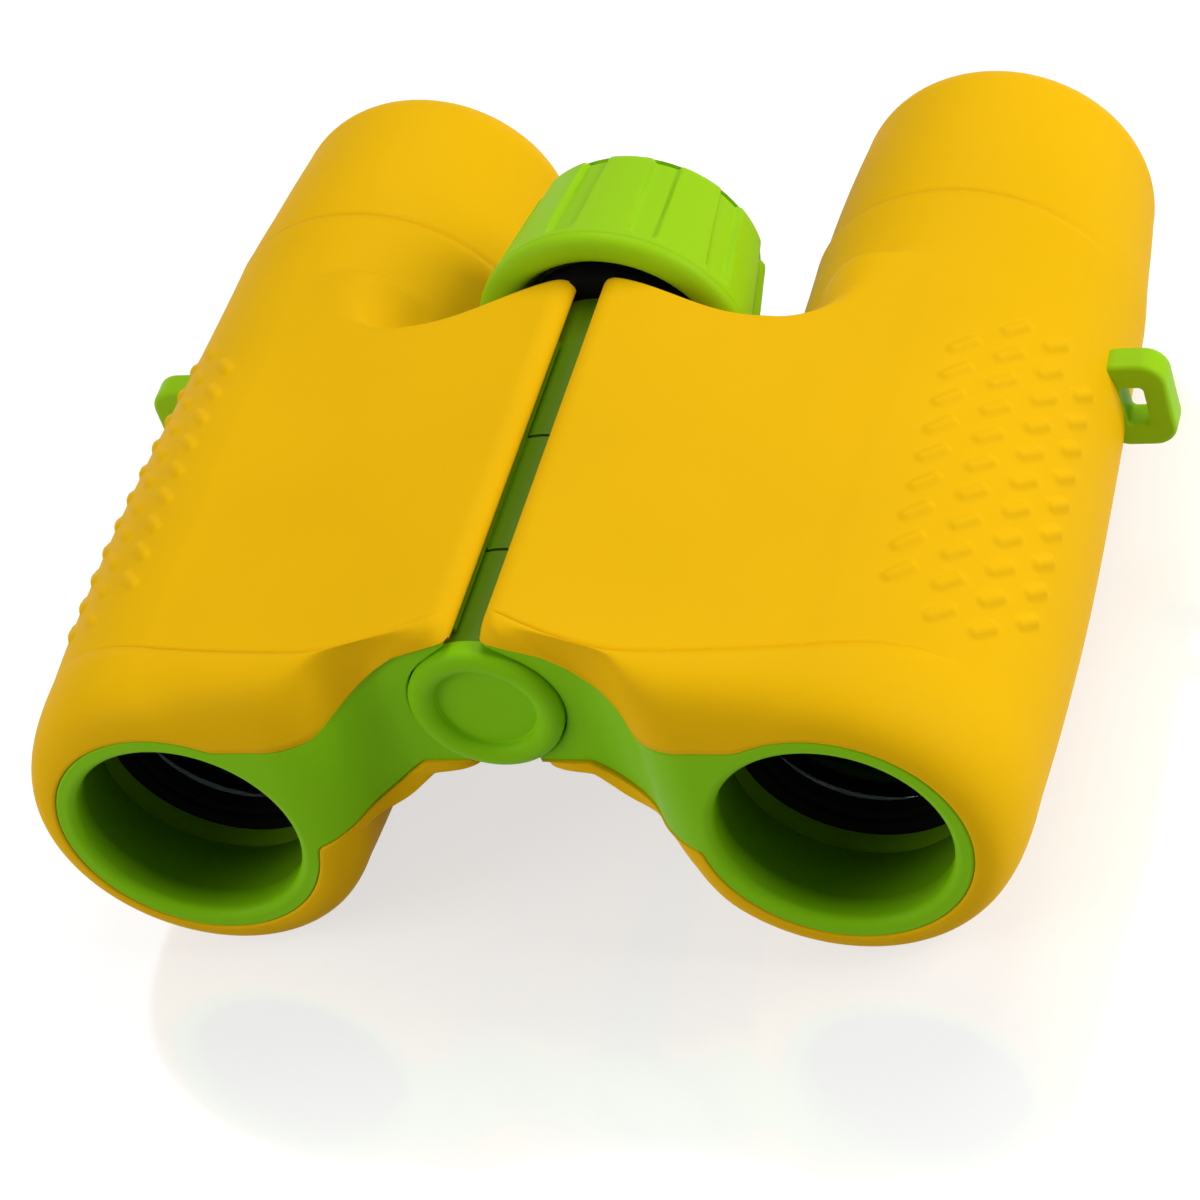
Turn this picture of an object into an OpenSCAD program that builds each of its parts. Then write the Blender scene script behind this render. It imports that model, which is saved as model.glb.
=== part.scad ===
// Children's binoculars: two rubber-armoured barrels on one centre hinge, and a focus
// wheel that slides both objective cells through a nut and two arms.
// Modelled with X across, Y from the objectives to the eyepieces and Z up, y = 0 at the
// objective rims, z = 0 on the barrel axes and x = 0 on the hinge. place() then moves
// the whole to its reference point, the bottom centre.
// Right-hand pieces are drawn, and left-hand pieces are their mirror images.

/* [Barrels] */
// Distance between the two barrel axes
eye_spacing = 64; // [62:0.5:70]
// Overall length from the objective rims to the eyecups
length = 94; // [92:0.5:104]
// Thickness of the rubber where a barrel is widest
rubber = 3.3; // [3:0.1:4.2]
// Where the barrel is widest
belly_y = 28; // [22:1:36]
// How much smaller the barrel's radius is at the front shoulder line
shoulder_drop = 0.6; // [0.5:0.1:1.1]
// Where the front shoulder line crosses the barrel
shoulder_y = 9.2; // [8.6:0.2:11]
// How much smaller the barrel's radius is just before the eyecup line
waist_drop = 1.15; // [0.7:0.05:1.5]
// Where the eyecup line runs
cup_y = 70.3; // [68:0.5:74]
// Radius of the eyecup where its end rounding starts
cup_r = 15; // [14.6:0.1:15.8]
// Radius of the rounding round the eyecup's end
cup_round = 6.3; // [5:0.1:6.4]
// How far the eyecup leans in towards the hinge
cup_lean = 0.6; // [0:0.1:0.8]
// Radius of the eyecup's opening
cup_open_r = 7.9; // [7.6:0.1:8]
// Height of the moulded step at the shoulder line and at the eyecup line
step_h = 0.35; // [0.2:0.05:0.5]

/* [Objective end] */
// Width of the green rim round the opening
rim_w = 1.95; // [1.7:0.05:2.3]
// How far the opening stands clear of the objective lens all round
rim_play = 0.6; // [0.3:0.1:0.8]
// Length of the straight lip
lip_len = 2; // [1.5:0.1:3]
// How much wider the bezel's bore is behind the lip
lip_step = 0.5; // [0.3:0.1:0.7]
// Thickness of the bezel from the rim to the chassis
bezel_len = 9; // [8.6:0.1:9.6]
// How far the bezel's face is set back beside the hinge
face_set = 6.5; // [5.8:0.1:6.8]
// Where the face starts to rise from the hinge's flat
ramp_in = 9.4; // [9:0.1:10.5]
// Where the face has risen to the rim
ramp_out = 20.6; // [19.5:0.1:21.5]

/* [Bridge] */
// Height of the bridge's top edge at the hinge, above the barrel axes
bridge_top = 20.8; // [20.4:0.1:21.6]
// Height of the bridge's underside
bridge_bottom = 2; // [1.4:0.1:2.6]
// Front of the cover at the hinge
bridge_front = 5.3; // [4.8:0.1:5.8]
// Rear of the cover at the hinge
bridge_rear = 53.4; // [51:0.2:53.6]
// How far the cover's rear edge curves forward beside the barrel
notch = 3.7; // [2.5:0.1:4.5]
// Width of the slit between the covers at the top
gap_top = 2.6; // [2.4:0.1:3.4]
// Width of the slit between the covers underneath
gap_bottom = 6.4; // [6.2:0.1:7.4]
// Thickness of the rubber over the bridge
skin = 2.2; // [1.8:0.1:2.4]

/* [Hinge] */
// Height of the hinge axis above the barrel axes
hinge_rise = 11; // [10.6:0.1:11.4]
// Outer radius of the hinge knuckles
knuckle_r = 7; // [6.6:0.1:7.1]
// Front of the first knuckle
knuckle_front = 7.6; // [7.4:0.1:8.2]
// Division between the first and the middle knuckle
division_1 = 19.6; // [18.6:0.2:20]
// Division between the middle and the rear knuckle
division_2 = 35.2; // [34.8:0.2:36.4]
// Rear of the last knuckle
knuckle_rear = 54.2; // [54:0.1:54.6]
// Radius of the steel hinge pin
pin_r = 3.5; // [3:0.1:3.8]
// Outer radius of the brass bush behind the middle knuckle
bush_r = 4.2; // [3.8:0.1:4.4]
// Radius of the hinge cap
cap_r = 7.4; // [7.2:0.1:7.8]
// Radius of the flat dish in the cap
cap_dish_r = 4.9; // [4:0.1:5.2]

/* [Focus] */
// Radius of the focus wheel's front edge
wheel_front_r = 13.9; // [13.4:0.1:14.2]
// Radius of the focus wheel's back edge
wheel_back_r = 12; // [11.6:0.1:13]
// Front of the focus wheel
wheel_front = 54.8; // [54.6:0.1:55.6]
// Back of the focus wheel
wheel_back = 70.3; // [68:0.1:72]
// Number of grip grooves in the wheel
groove_count = 12; // [8:1:14]
// Width of a groove's floor
groove_w = 2.4; // [1.8:0.1:2.8]
// Depth of a groove at the back of the wheel
groove_depth = 0.9; // [0.5:0.1:1]
// Radius of the focus spindle
spindle_r = 2.5; // [2.2:0.1:2.7]
// Total travel of the objective cells
travel = 3; // [2:0.1:3]
// Width of each focus arm along the barrel
arm_w = 3; // [2.6:0.1:3]
// Thickness of each focus arm
arm_t = 2.6; // [2:0.1:3]

/* [Optics] */
// Diameter of the objective lens
objective_d = 21; // [18:0.5:24]
// Room for the wall of the objective cell, between the lens and the chassis tube's bore
cell_room = 1.5; // [1.4:0.1:1.8]
// Thickness of the chassis tube's wall
tube_wall = 2.4; // [2:0.1:2.6]
// Front of the objective cell at mid focus
cell_front = 11.6; // [11.4:0.1:12.6]
// Length of the objective cell
cell_len = 20; // [18.5:0.5:21]
// Front of the prism cage
cage_front = 36; // [35:0.5:38]
// Length of the prism cage
cage_len = 24; // [23:0.5:25]
// Side of the square light path through the prisms
prism_a = 13; // [12:0.5:14]
// Diameter of the eye lens
eye_lens_d = 15; // [14:0.5:16]
// Diameter of the field lens
field_lens_d = 17; // [16:0.5:18]

/* [Grip] */
// Length of a grip nub
nub_len = 3.7; // [3:0.1:4]
// Width of a grip nub
nub_w = 1.3; // [1:0.1:1.5]
// How far a nub stands out of the rubber
nub_h = 0.42; // [0.3:0.02:0.5]
// Pitch of the nubs along a row
nub_pitch = 3.78; // [3.6:0.02:3.8]
// Nubs in the longest row
nub_count = 10; // [4:1:10]
// First nub of the first row
nub_start = 17.9; // [17.5:0.1:18.5]
// Angle of the first row round the barrel, from the outer side
nub_angle = 69; // [66:0.5:70]
// Angle between rows
nub_step = 14.6; // [14:0.2:15]
// How far each row starts behind the row above it
nub_shear = 0.72; // [0:0.02:0.9]
// Rows of nubs
nub_rows = 6; // [3:1:6]

/* [Strap lug] */
// How far the lug stands out from the chassis tube
lug_len = 7.2; // [6.2:0.1:8.6]
// Height of the lug
lug_h = 10; // [9:0.1:11]
// Thickness of the lug along the barrel
lug_t = 2.4; // [2:0.1:3]
// Front face of the lug
lug_y = 57.4; // [56:0.2:60]
// Width of the strap slot
slot_w = 2.3; // [1.8:0.1:2.4]
// Height of the strap slot
slot_h = 4.8; // [4.2:0.1:5.4]

/* [Hidden] */
$fn = 64;

// Clearances: a running fit, a seat within one half, free air, and an open gap
run = 0.05;
seat = 0.02;
air = 0.35;
over = 1;

barrel_x = eye_spacing / 2;
axis = [barrel_x, 0];
tube_bore_r = objective_d / 2 + cell_room;
tube_r = tube_bore_r + tube_wall;
belly_r = tube_r + rubber;
shoulder_r = belly_r - shoulder_drop;
waist_r = belly_r - waist_drop;
bore_r = objective_d / 2 + rim_play;
bezel_bore_r = bore_r + lip_step;
rim_r = bore_r + rim_w;
lug_reach = tube_r + lug_len;
top_edge = [gap_top / 2, bridge_top];
bottom_edge = [gap_bottom / 2, bridge_bottom];
hinge_face = [bottom_edge[1] - top_edge[1], top_edge[0] - bottom_edge[0]];
hinge_normal = hinge_face / norm(hinge_face);
face_round = 0.6;
face_tilt = -29;
face_inset = 0.3;
face_drop = 1.2;
face_top = [gap_top / 2 + face_inset, bridge_top - face_drop];
shelf_drop = 1.6;
face_shelf = rim_r - shelf_drop;
face_blend = 0.6;
skin_blend = 0.3;
edge_w = 1.7;
cup_end = length - cup_round;
cup_front_r = waist_r - step_h;
cup_bow = 1.6;
nose_power = 2.76;
edge_round = 2.4;
arch_round = 2;
face_fillet = 3;
far = 1000;

// The middle of the skin's polar grid: inside the barrel and above the bridge's underside
pole_rise = 4.5;
pole = [barrel_x - 0.48 * belly_r, bridge_bottom + pole_rise];

// Shape helpers
function mix(a, b, t) = a + (b - a) * t;
function unit(t) = min(max(t, 0), 1);
function ease(t) = (1 - cos(180 * unit(t))) / 2;
function smooth_min(a, b, k) = let (h = max(k - abs(a - b), 0) / k) min(a, b) - h * h * k / 4;
function smooth_max(a, b, k) = -smooth_min(-a, -b, k);
function ray(a) = [cos(a), sin(a)];
function arc(c, r, a0, a1, n) = [for (i = [0 : n]) c + r * ray(mix(a0, a1, i / n))];

// Distance from the pole, along the ray at angle a, to a circle and to a straight side
function to_circle(a, c, r) =
    let (d = pole - c, m = d * ray(a))
    -m + sqrt(m * m + r * r - d * d);
function to_side(a, p, n) =
    let (f = n * ray(a))
    f > 0.001 ? n * (p - pole) / f : far;

// Barrel radius and axis along the length
function barrel_r(y) =
    y < belly_y ? belly_r - (belly_r - shoulder_r) * pow((belly_y - y) / (belly_y - shoulder_y), 2)
    : y < cup_y ? belly_r - (belly_r - waist_r) * ease((y - belly_y) / (cup_y - belly_y))
    : cup_front_r - (cup_front_r - cup_r) * pow((y - cup_y) / (cup_end - cup_y), cup_bow);
function barrel_axis(y) = axis - [cup_lean * ease((y - cup_y * 0.7) / (length - cup_y * 0.7)), 0];
function barrel_reach(a, y) = to_circle(a, barrel_axis(y), barrel_r(y));

// The underside: flat beside the hinge, then down a slope and a ledge into the barrel. It is
// drawn at the green face's lower edge, and grow moves it out through the rubber
arch_start = [0.256 * barrel_x, bridge_bottom + edge_w];
arch_slope = -38.5;
ledge_drop = 2.2;
arch_ledge = [0.406 * barrel_x, bridge_bottom - ledge_drop];
ledge_slope = -16;
function under_reach(a, grow) =
    let (
        slope = [sin(arch_slope), -cos(arch_slope)],
        ledge = [sin(ledge_slope), -cos(ledge_slope)],
        flat = to_side(a, arch_start + grow * [0, -1], [0, -1]),
        down = to_side(a, arch_start + grow * slope, slope),
        out = to_side(a, arch_ledge + grow * ledge, ledge)
    )
    smooth_min(smooth_max(flat, down, arch_round), out, arch_round);

// The bridge's cover: a top that runs off tangent to the barrel, the hinge side and the underside
function top_tilt(r) =
    let (d = axis - top_edge)
    atan2(d[1], d[0]) + asin(r / norm(d));
function cover_reach(a, r) =
    let (
        t = top_tilt(r),
        top = to_side(a, top_edge, [-sin(t), cos(t)]),
        side = to_side(a, top_edge, hinge_normal),
        end = to_side(a, axis, [cos(t), sin(t)])
    )
    min(smooth_min(smooth_min(top, side, edge_round), under_reach(a, edge_w), edge_round), end);
function skin_reach(a, y) = smooth_max(barrel_reach(a, y), cover_reach(a, barrel_r(y)), skin_blend);

// Outline of the green face: the rim circle, running into the flat beside the hinge
function face_reach(a, spread = 0) =
    let (
        slope = to_side(a, face_top, [-sin(face_tilt), cos(face_tilt)]),
        shelf = to_side(a, [0, face_shelf], [0, 1]),
        side = to_side(a, face_top + spread * hinge_normal, hinge_normal),
        end = to_side(a, axis, [1, 0]),
        plate = min(smooth_min(smooth_max(slope, shelf, face_fillet), side, face_round), end)
    )
    smooth_max(to_circle(a, axis, rim_r), smooth_min(plate, under_reach(a, 0), face_round), face_blend);

// How far back the face lies at x: two equal arcs between the hinge's flat and the rim
ramp_run = ramp_out - ramp_in;
ramp_r = (ramp_run * ramp_run + face_set * face_set) / (4 * face_set);
ramp_angle = 2 * atan(face_set / ramp_run);
function face_y(x) =
    x <= ramp_in ? face_set
    : x >= ramp_out ? 0
    : x < (ramp_in + ramp_out) / 2 ? face_set - ramp_r + sqrt(ramp_r * ramp_r - pow(x - ramp_in, 2))
    : ramp_r - sqrt(ramp_r * ramp_r - pow(ramp_out - x, 2));

// The shoulder line dips forward over the bridge, and its step fades out round the barrel
line_dip = 2.6;
line_dip_x = 0.56 * barrel_x;
line_dip_w = 14.5;
function shoulder_line(x) =
    shoulder_y - line_dip * pow(cos(90 * min(abs(x - line_dip_x) / line_dip_w, 1)), 2);
function top_side(a) = a < 90 ? ease((a - 15) / 30) : ease((200 - a) / 30);

// The cover's rear edge in plan
function rear_line(x) = bridge_rear - notch * ease((x - gap_top / 2) / (0.52 * barrel_x));

// Rows of the skin's grid, from the face back to the eyecup's opening
front_rows = 6;
wall_rows = 9;
rear_rows = 4;
cup_rows = 4;
round_rows = 5;
rear_wall_end = 60.5;
edge_drop = 1.2;
wall_share = 0.72;
scoop_share = 0.16;
half_step = 0.3;
tuck = 0.6;

function at(a, reach, y) = [pole[0] + reach * cos(a), y, pole[1] + reach * sin(a)];
function x_at(a, reach) = pole[0] + reach * cos(a);

function nose(a) =
    let (
        r0 = face_reach(a) - tuck,
        set = face_y(x_at(a, r0)),
        y0 = set - (face_set - bridge_front) * set / face_set,
        line = shoulder_line(x_at(a, skin_reach(a, shoulder_y))),
        r1 = skin_reach(a, line) + step_h * top_side(a)
    )
    [for (i = [0 : front_rows])
        let (t = 90 * i / front_rows)
        at(a, mix(r0, r1, pow(sin(t), 2 / nose_power)),
            line - half_step - (line - half_step - y0) * pow(cos(t), 2 / nose_power))];

// Lines of the grip: each cell between two lines and two rays carries one nub
function barrel_angle(a) =
    let (p = pole + to_circle(a, axis, belly_r) * ray(a) - axis)
    atan2(p[1], p[0]);
function grip_line(a, k) =
    let (row = min(max((nub_angle - barrel_angle(a)) / nub_step, -0.5), nub_rows - 0.5))
    nub_start + (k - 0.5) * nub_pitch + row * nub_shear;

function body(a, wall) =
    let (
        line = shoulder_line(x_at(a, skin_reach(a, shoulder_y))) + half_step,
        edge = rear_line(x_at(a, skin_reach(a, bridge_rear))) - edge_drop,
        first = grip_line(a, 0),
        last = mix(grip_line(a, nub_count), edge, wall),
        rows = concat([line], [for (k = [0 : nub_count]) mix(first, last, k / nub_count)])
    )
    [for (y = rows) at(a, skin_reach(a, y), y)];

// Behind the cover the skin turns down its rear wall and sweeps out along the barrel
function rear_wall(a, wall) =
    let (
        full = skin_reach(a, bridge_rear),
        low = barrel_reach(a, bridge_rear),
        toe = mix(low, full, scoop_share)
    )
    [for (i = [1 : wall_rows])
        let (
            t = i / wall_rows,
            down = unit(t / wall_share),
            out = unit((t - wall_share) / (1 - wall_share)),
            reach = out > 0 ? mix(toe, low, 1 - pow(1 - out, 2)) : mix(full, toe, pow(down, 1.3)),
            edge = rear_line(x_at(a, reach)) - edge_drop * pow(1 - unit(down * 3), 2),
            y_wall = mix(edge, rear_wall_end, pow(out, 1.4)),
            y = mix(mix(grip_line(a, nub_count), rear_wall_end, t), y_wall, wall)
        )
        at(a, mix(skin_reach(a, y), reach + barrel_reach(a, y) - low, wall), y)];

// Behind the bridge the rows are circles round the barrel's axis
function rear(a) =
    let (
        g = barrel_angle(a),
        rows = concat(
            [for (i = [1 : rear_rows]) mix(rear_wall_end, cup_y - half_step, i / rear_rows)],
            [for (i = [0 : cup_rows]) mix(cup_y + half_step, cup_end, i / cup_rows)])
    )
    concat(
        [for (y = rows) on_circle(g, barrel_r(y), y)],
        [for (i = [1 : round_rows])
            let (t = 90 * i / round_rows)
            on_circle(g, cup_r - cup_round * (1 - cos(t)), cup_end + cup_round * sin(t))],
        [on_circle(g, cup_open_r - 1.2, length)]);
function on_circle(g, r, y) = let (c = barrel_axis(y)) [c[0] + r * cos(g), y, c[1] + r * sin(g)];

// Rays of the grid: close together at the bridge's edges, further apart round the barrel
function fan(a0, a1, n) = [for (i = [0 : n - 1]) mix(a0, a1, i / n)];
top_corner = atan2(top_edge[1] - pole[1], top_edge[0] - pole[0]);
low_corner = 360 + atan2(bottom_edge[1] - pole[1], bottom_edge[0] - pole[0]);
function axis_ray(g, r) = let (p = axis + r * ray(g) - pole) atan2(p[1], p[0]);
function axis_fan(g0, g1, r, n) = [for (i = [0 : n - 1]) axis_ray(mix(g0, g1, i / n), r)];
grip_top = nub_angle + nub_step / 2;
grip_low = grip_top - nub_rows * nub_step;
barrel_low = -155;
barrel_top = 95;
before_grip = concat(axis_fan(barrel_low, -90, belly_r, 5), axis_fan(-90, grip_low, belly_r, 7));
rays = concat(
    before_grip,
    axis_fan(grip_low, grip_top, belly_r, nub_rows),
    axis_fan(grip_top, barrel_top, belly_r, 2),
    fan(axis_ray(barrel_top, belly_r), top_corner - 4, 8),
    fan(top_corner - 4, top_corner + 4, 5),
    fan(top_corner + 4, low_corner - 4, 5),
    fan(low_corner - 4, low_corner + 5, 6),
    fan(low_corner + 5, 360 + axis_ray(barrel_low, belly_r), 9));

// The face's outline has rays of its own, so that its corners fall between those of the skin
face_rays = concat(
    axis_fan(-144, 90, rim_r, 36),
    fan(axis_ray(90, rim_r), top_corner - 5, 14),
    fan(top_corner - 5, top_corner + 5, 6),
    fan(top_corner + 5, low_corner - 6, 4),
    fan(low_corner - 6, low_corner + 3, 6),
    fan(low_corner + 3, 360 + axis_ray(-144, rim_r), 14));
function face_outline(shrink, spread) =
    [for (a = face_rays) pole + (face_reach(a, spread) - shrink) * ray(a)];

function wall_weight(a) =
    ease((skin_reach(a, bridge_rear) - barrel_reach(a, bridge_rear) - 0.2) / 4);
function meridian(a) =
    let (wall = wall_weight(a))
    concat(nose(a), body(a, wall), rear_wall(a, wall), rear(a));

// Nubs of the grip, as columns and rows of the grid: the outer rows are shorter
grip_column = len(before_grip) + nub_rows - 1;
grip_row = front_rows + 2;
function has_nub(i, j) =
    let (row = grip_column - i, k = j - grip_row)
    row >= 0 && row < nub_rows
    && k >= floor(row / 4) && k < nub_count - (row == 0 ? 1 : floor(row / 3));
grip_cells = [for (row = [0 : nub_rows - 1], k = [0 : nub_count - 1])
    if (has_nub(grip_column - row, grip_row + k)) [grip_column - row, grip_row + k]];

// Corner points of one nub: a slanted hexagon on the skin and a smaller one standing off it
nub_slant = 46;
nub_top = 0.55;
function nub_plan(l, w) = [
    for (p = [[l - w, w], [l, 0], [l - w, -w], [w - l, -w], [-l, 0], [w - l, w]])
        [p[0] * cos(nub_slant) + p[1] * sin(nub_slant), p[1] * cos(nub_slant) - p[0] * sin(nub_slant)]
];
function nub_points(a, b, c, d) =
    let (
        wide = norm(b - a),
        tall = norm(d - a),
        mid = (a + b + c + d) / 4,
        out = cross(d - b, c - a),
        lift = nub_h * out / norm(out),
        l = nub_len / 2,
        w = nub_w / 2
    )
    concat(
        [for (p = nub_plan(l, w)) mid + p[0] / wide * (b + c - a - d) / 2 + p[1] / tall * (c + d - a - b) / 2],
        [for (p = nub_plan(l - w * (1 - nub_top), w * nub_top))
            mid + p[0] / wide * (b + c - a - d) / 2 + p[1] / tall * (c + d - a - b) / 2 + lift]);
function nub_faces(a, b, c, d, h) = concat(
    [[a, b, h + 2], [b, h + 1, h + 2], [b, h, h + 1], [b, c, h], [c, h + 5, h]],
    [[c, d, h + 5], [d, h + 4, h + 5], [d, h + 3, h + 4], [d, a, h + 3], [a, h + 2, h + 3]],
    [for (i = [0 : 5])
        let (k = (i + 1) % 6)
        each [[h + k, h + i, h + 6 + i], [h + k, h + 6 + i, h + 6 + k]]],
    [for (i = [1 : 4]) [h + 6, h + 7 + i, h + 6 + i]]);

// A closed skin through the rows of points of each ray, with nubs in the grip's cells and a
// fan of triangles round a middle point over each end
module skin_solid(lines) {
    n = len(lines);
    m = len(lines[0]);
    points = [for (line = lines) each line];
    corners = [for (c = grip_cells)
        [for (s = [[0, 0], [1, 0], [1, 1], [0, 1]]) (c[0] + s[0]) * m + c[1] + s[1]]];
    nubs = [for (q = corners) each nub_points(points[q[0]], points[q[1]], points[q[2]], points[q[3]])];
    sides = [for (i = [0 : n - 1], j = [0 : m - 2])
        let (k = (i + 1) % n)
        if (!has_nub(i, j))
            each [[i * m + j, k * m + j, k * m + j + 1], [i * m + j, k * m + j + 1, i * m + j + 1]]];
    raised = [for (i = [0 : len(corners) - 1])
        let (q = corners[i])
        each nub_faces(q[0], q[1], q[2], q[3], n * m + 12 * i)];
    ends = [[pole[0], face_set / 2, pole[1]], on_circle(0, 0, length)];
    first = len(points) + len(nubs);
    caps = [for (i = [0 : n - 1])
        let (k = (i + 1) % n)
        each [[first, k * m, i * m], [first + 1, i * m + m - 1, k * m + m - 1]]];
    polyhedron(concat(points, nubs, ends), concat(sides, raised, caps));
}

// Placing helpers
module place() translate([0, -length / 2, belly_r]) children();
module left() mirror([1, 0, 0]) children();
module on_barrel(y) translate([barrel_x, y, 0]) rotate([-90, 0, 0]) children();
module on_hinge(y) translate([0, y, hinge_rise]) rotate([-90, 0, 0]) children();
module along_y(y0, y1) translate([0, y1, 0]) rotate([90, 0, 0]) linear_extrude(y1 - y0) children();
module rod(r, h) cylinder(r = r, h = h);
module ring(r, bore, h) {
    difference() {
        rod(r, h);
        translate([0, 0, -over]) rod(bore, h + 2 * over);
    }
}

// The frame of the right focus arm: from the hinge axis towards the barrel axis
arm_tilt = atan2(hinge_rise, barrel_x);
arm_span = norm([barrel_x, hinge_rise]);
module arm_frame() translate([0, 0, hinge_rise]) rotate([0, arm_tilt, 0]) children();

// Lengths along the hinge inside the middle knuckle
nut_r = 4.4;
nut_wall = 0.8;
cavity_r = nut_r + air;
journal_r = spindle_r + nut_wall;
flange_t = 0.8;
land = 1.9;
clip_t = 0.6;
cavity_front = division_1 + air + land;
cavity_rear = division_2 - air - land;
nut_len = flange_t + 2 * arm_w + 3 * run;
nut_front = (cavity_front + cavity_rear - clip_t - run - nut_len) / 2;
left_arm_y = nut_front + flange_t + run;
right_arm_y = left_arm_y + arm_w + run;

// Chassis lengths
tube_front = bezel_len;
tube_rear = cup_y + 1.7;
web_rear = bridge_rear - notch - skin;
knuckle_gap = knuckle_r + air;
cell_r = tube_bore_r - run;
cell_seat_r = objective_d / 2 + run;

// Outline of the web inside the bridge, under the rubber
function web_outline(grow) =
    let (t = top_tilt(barrel_r(belly_y)), down = [sin(t), -cos(t)] * (skin - grow))
    [
        top_edge + down + [0.4 - grow, 0],
        [barrel_x, tube_r - 1 + grow],
        [barrel_x, 0],
        [barrel_x - tube_r * 0.95, bridge_bottom - grow],
        bottom_edge + [0.4 - grow, skin - grow]
    ];

// The rubber skin of one half, with its moulded eyecup and grip nubs
module armour() {
    color([0.96, 0.73, 0.05])
    difference() {
        skin_solid([for (a = rays) meridian(a)]);
        along_y(-over, tube_front) polygon(face_outline(0, 2 * face_inset));
        along_y(tube_front - seat, web_rear + seat) polygon(web_outline(seat));
        on_barrel(tube_front - seat) rod(tube_r + seat, tube_rear - tube_front + 2 * seat);
        on_barrel(tube_front) rod(eyepiece_r + seat, eyepiece_rear - tube_front + seat);
        on_barrel(tube_front) rod(cup_open_r, length);
        on_hinge(-over) rod(knuckle_gap, length);
        translate([0, -seat, 0]) lug_block(seat);
    }
}

// Chassis of one half: tube, web and the web's clearance round the hinge
module chassis_core() {
    difference() {
        union() {
            on_barrel(tube_front) rod(tube_r, tube_rear - tube_front);
            along_y(tube_front, web_rear) polygon(web_outline(0));
        }
        on_barrel(tube_front - over) rod(tube_bore_r, length);
    }
}

module arm_slot(y) {
    arm_frame()
        translate([knuckle_r / 2, y - travel / 2 - air, -arm_t / 2 - air])
            cube([arm_span - knuckle_r, arm_w + travel + 2 * air, arm_t + 2 * air]);
}

// A knuckle with the stretch of web that carries it
module knuckle(y0, y1) {
    on_hinge(y0) rod(knuckle_r, y1 - y0);
    along_y(max(y0, tube_front), min(y1, web_rear)) polygon(web_outline(0));
}

module right_chassis() {
    color([0.42, 0.70, 0.10])
    difference() {
        union() {
            difference() {
                chassis_core();
                on_hinge(-over) rod(knuckle_gap, length);
            }
            knuckle(knuckle_front, division_1);
            knuckle(division_2, knuckle_rear);
        }
        on_barrel(tube_front - over) rod(tube_bore_r, length);
        on_hinge(knuckle_front - over) rod(pin_r + seat, division_1 - knuckle_front + 2 * over);
        on_hinge(division_2 - over) rod(bush_r + seat, knuckle_rear - division_2 + 2 * over);
        arm_slot(right_arm_y);
    }
}

// The middle knuckle has a land at each end, room for the nut between them, and a window
// through which the other half's arm swings as the hinge folds
fold_down = 36;
fold_up = 13;
window_margin = 24;
module window(y) {
    from = arm_tilt - fold_up - window_margin;
    to = arm_tilt + fold_down + window_margin;
    on_hinge(y - travel / 2 - air)
        rotate([0, 0, from])
            rotate_extrude(angle = to - from)
                translate([spindle_r, 0]) square([knuckle_gap, arm_w + travel + 2 * air]);
}

module left_chassis() {
    middle_front = division_1 + air;
    middle_rear = division_2 - air;
    color([0.42, 0.70, 0.10])
    difference() {
        union() {
            left() difference() {
                chassis_core();
                on_hinge(-over) rod(knuckle_gap, length);
            }
            left() knuckle(middle_front, middle_rear);
        }
        left() on_barrel(tube_front - over) rod(tube_bore_r, length);
        on_hinge(middle_front - over) rod(pin_r + run, land + 2 * over);
        on_hinge(cavity_rear - over) rod(bush_r + run, land + 2 * over);
        on_hinge(cavity_front) rod(cavity_r, cavity_rear - cavity_front);
        left() arm_slot(left_arm_y);
        window(right_arm_y);
    }
}

// Green face of one half: a plate ramped from the hinge to a rounded objective rim
rim_round = (rim_r - bore_r) / 2;
module bezel() {
    hole_r = cap_r + air;
    plan = concat(
        [[-over, bezel_len], [-over, face_set]],
        arc([ramp_in, face_set - ramp_r], ramp_r, 90, 90 - ramp_angle, 10),
        arc([ramp_out, ramp_r], ramp_r, -90 - 0.9 * ramp_angle, -90, 9),
        [[2 * barrel_x, 0], [2 * barrel_x, bezel_len]]);
    color([0.45, 0.74, 0.10])
    difference() {
        intersection() {
            along_y(-over, bezel_len) polygon(face_outline(seat, 0));
            translate([0, 0, -2 * rim_r]) linear_extrude(4 * rim_r + bridge_top) polygon(plan);
        }
        on_barrel(-over) rod(bore_r, lip_len + 2 * over);
        on_barrel(lip_len + rim_round) rod(bezel_bore_r, bezel_len);
        on_barrel(0) rotate_extrude() rim_cut();
        on_hinge(-over) rod(hole_r, bezel_len + 2 * over);
    }
}

// Rounds the rim's inner edge
module rim_cut() {
    difference() {
        translate([bore_r - over, -over]) square([rim_round + over, rim_round + over]);
        translate([bore_r + rim_round, rim_round]) circle(r = rim_round);
        translate([bore_r, rim_round]) square([rim_round, over]);
    }
}

// Strap lug: an upright plate with a slot, seated on the chassis tube
lug_corner = 2.4;
lug_drop = 0.4;
module lug_block(grow) {
    translate([barrel_x, lug_y, -lug_drop])
        rotate([-90, 0, 0])
            linear_extrude(lug_t + 2 * grow) {
                translate([0, -lug_h / 2 - grow]) square([lug_reach - lug_corner, lug_h + 2 * grow]);
                for (v = [-1, 1])
                    translate([lug_reach - lug_corner, v * (lug_h / 2 - lug_corner)])
                        circle(r = lug_corner + grow);
                translate([0, -lug_h / 2 + lug_corner])
                    square([lug_reach + grow, lug_h - 2 * lug_corner]);
            }
}

module strap_lug() {
    slot_x = lug_reach - lug_corner - slot_w / 2;
    color([0.55, 0.80, 0.10])
    difference() {
        lug_block(0);
        on_barrel(lug_y - over) rod(tube_r, lug_t + 2 * over);
        translate([barrel_x + slot_x - slot_w / 2, lug_y - over, -lug_drop - slot_h / 2])
            cube([slot_w, lug_t + 2 * over, slot_h]);
    }
}

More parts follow.
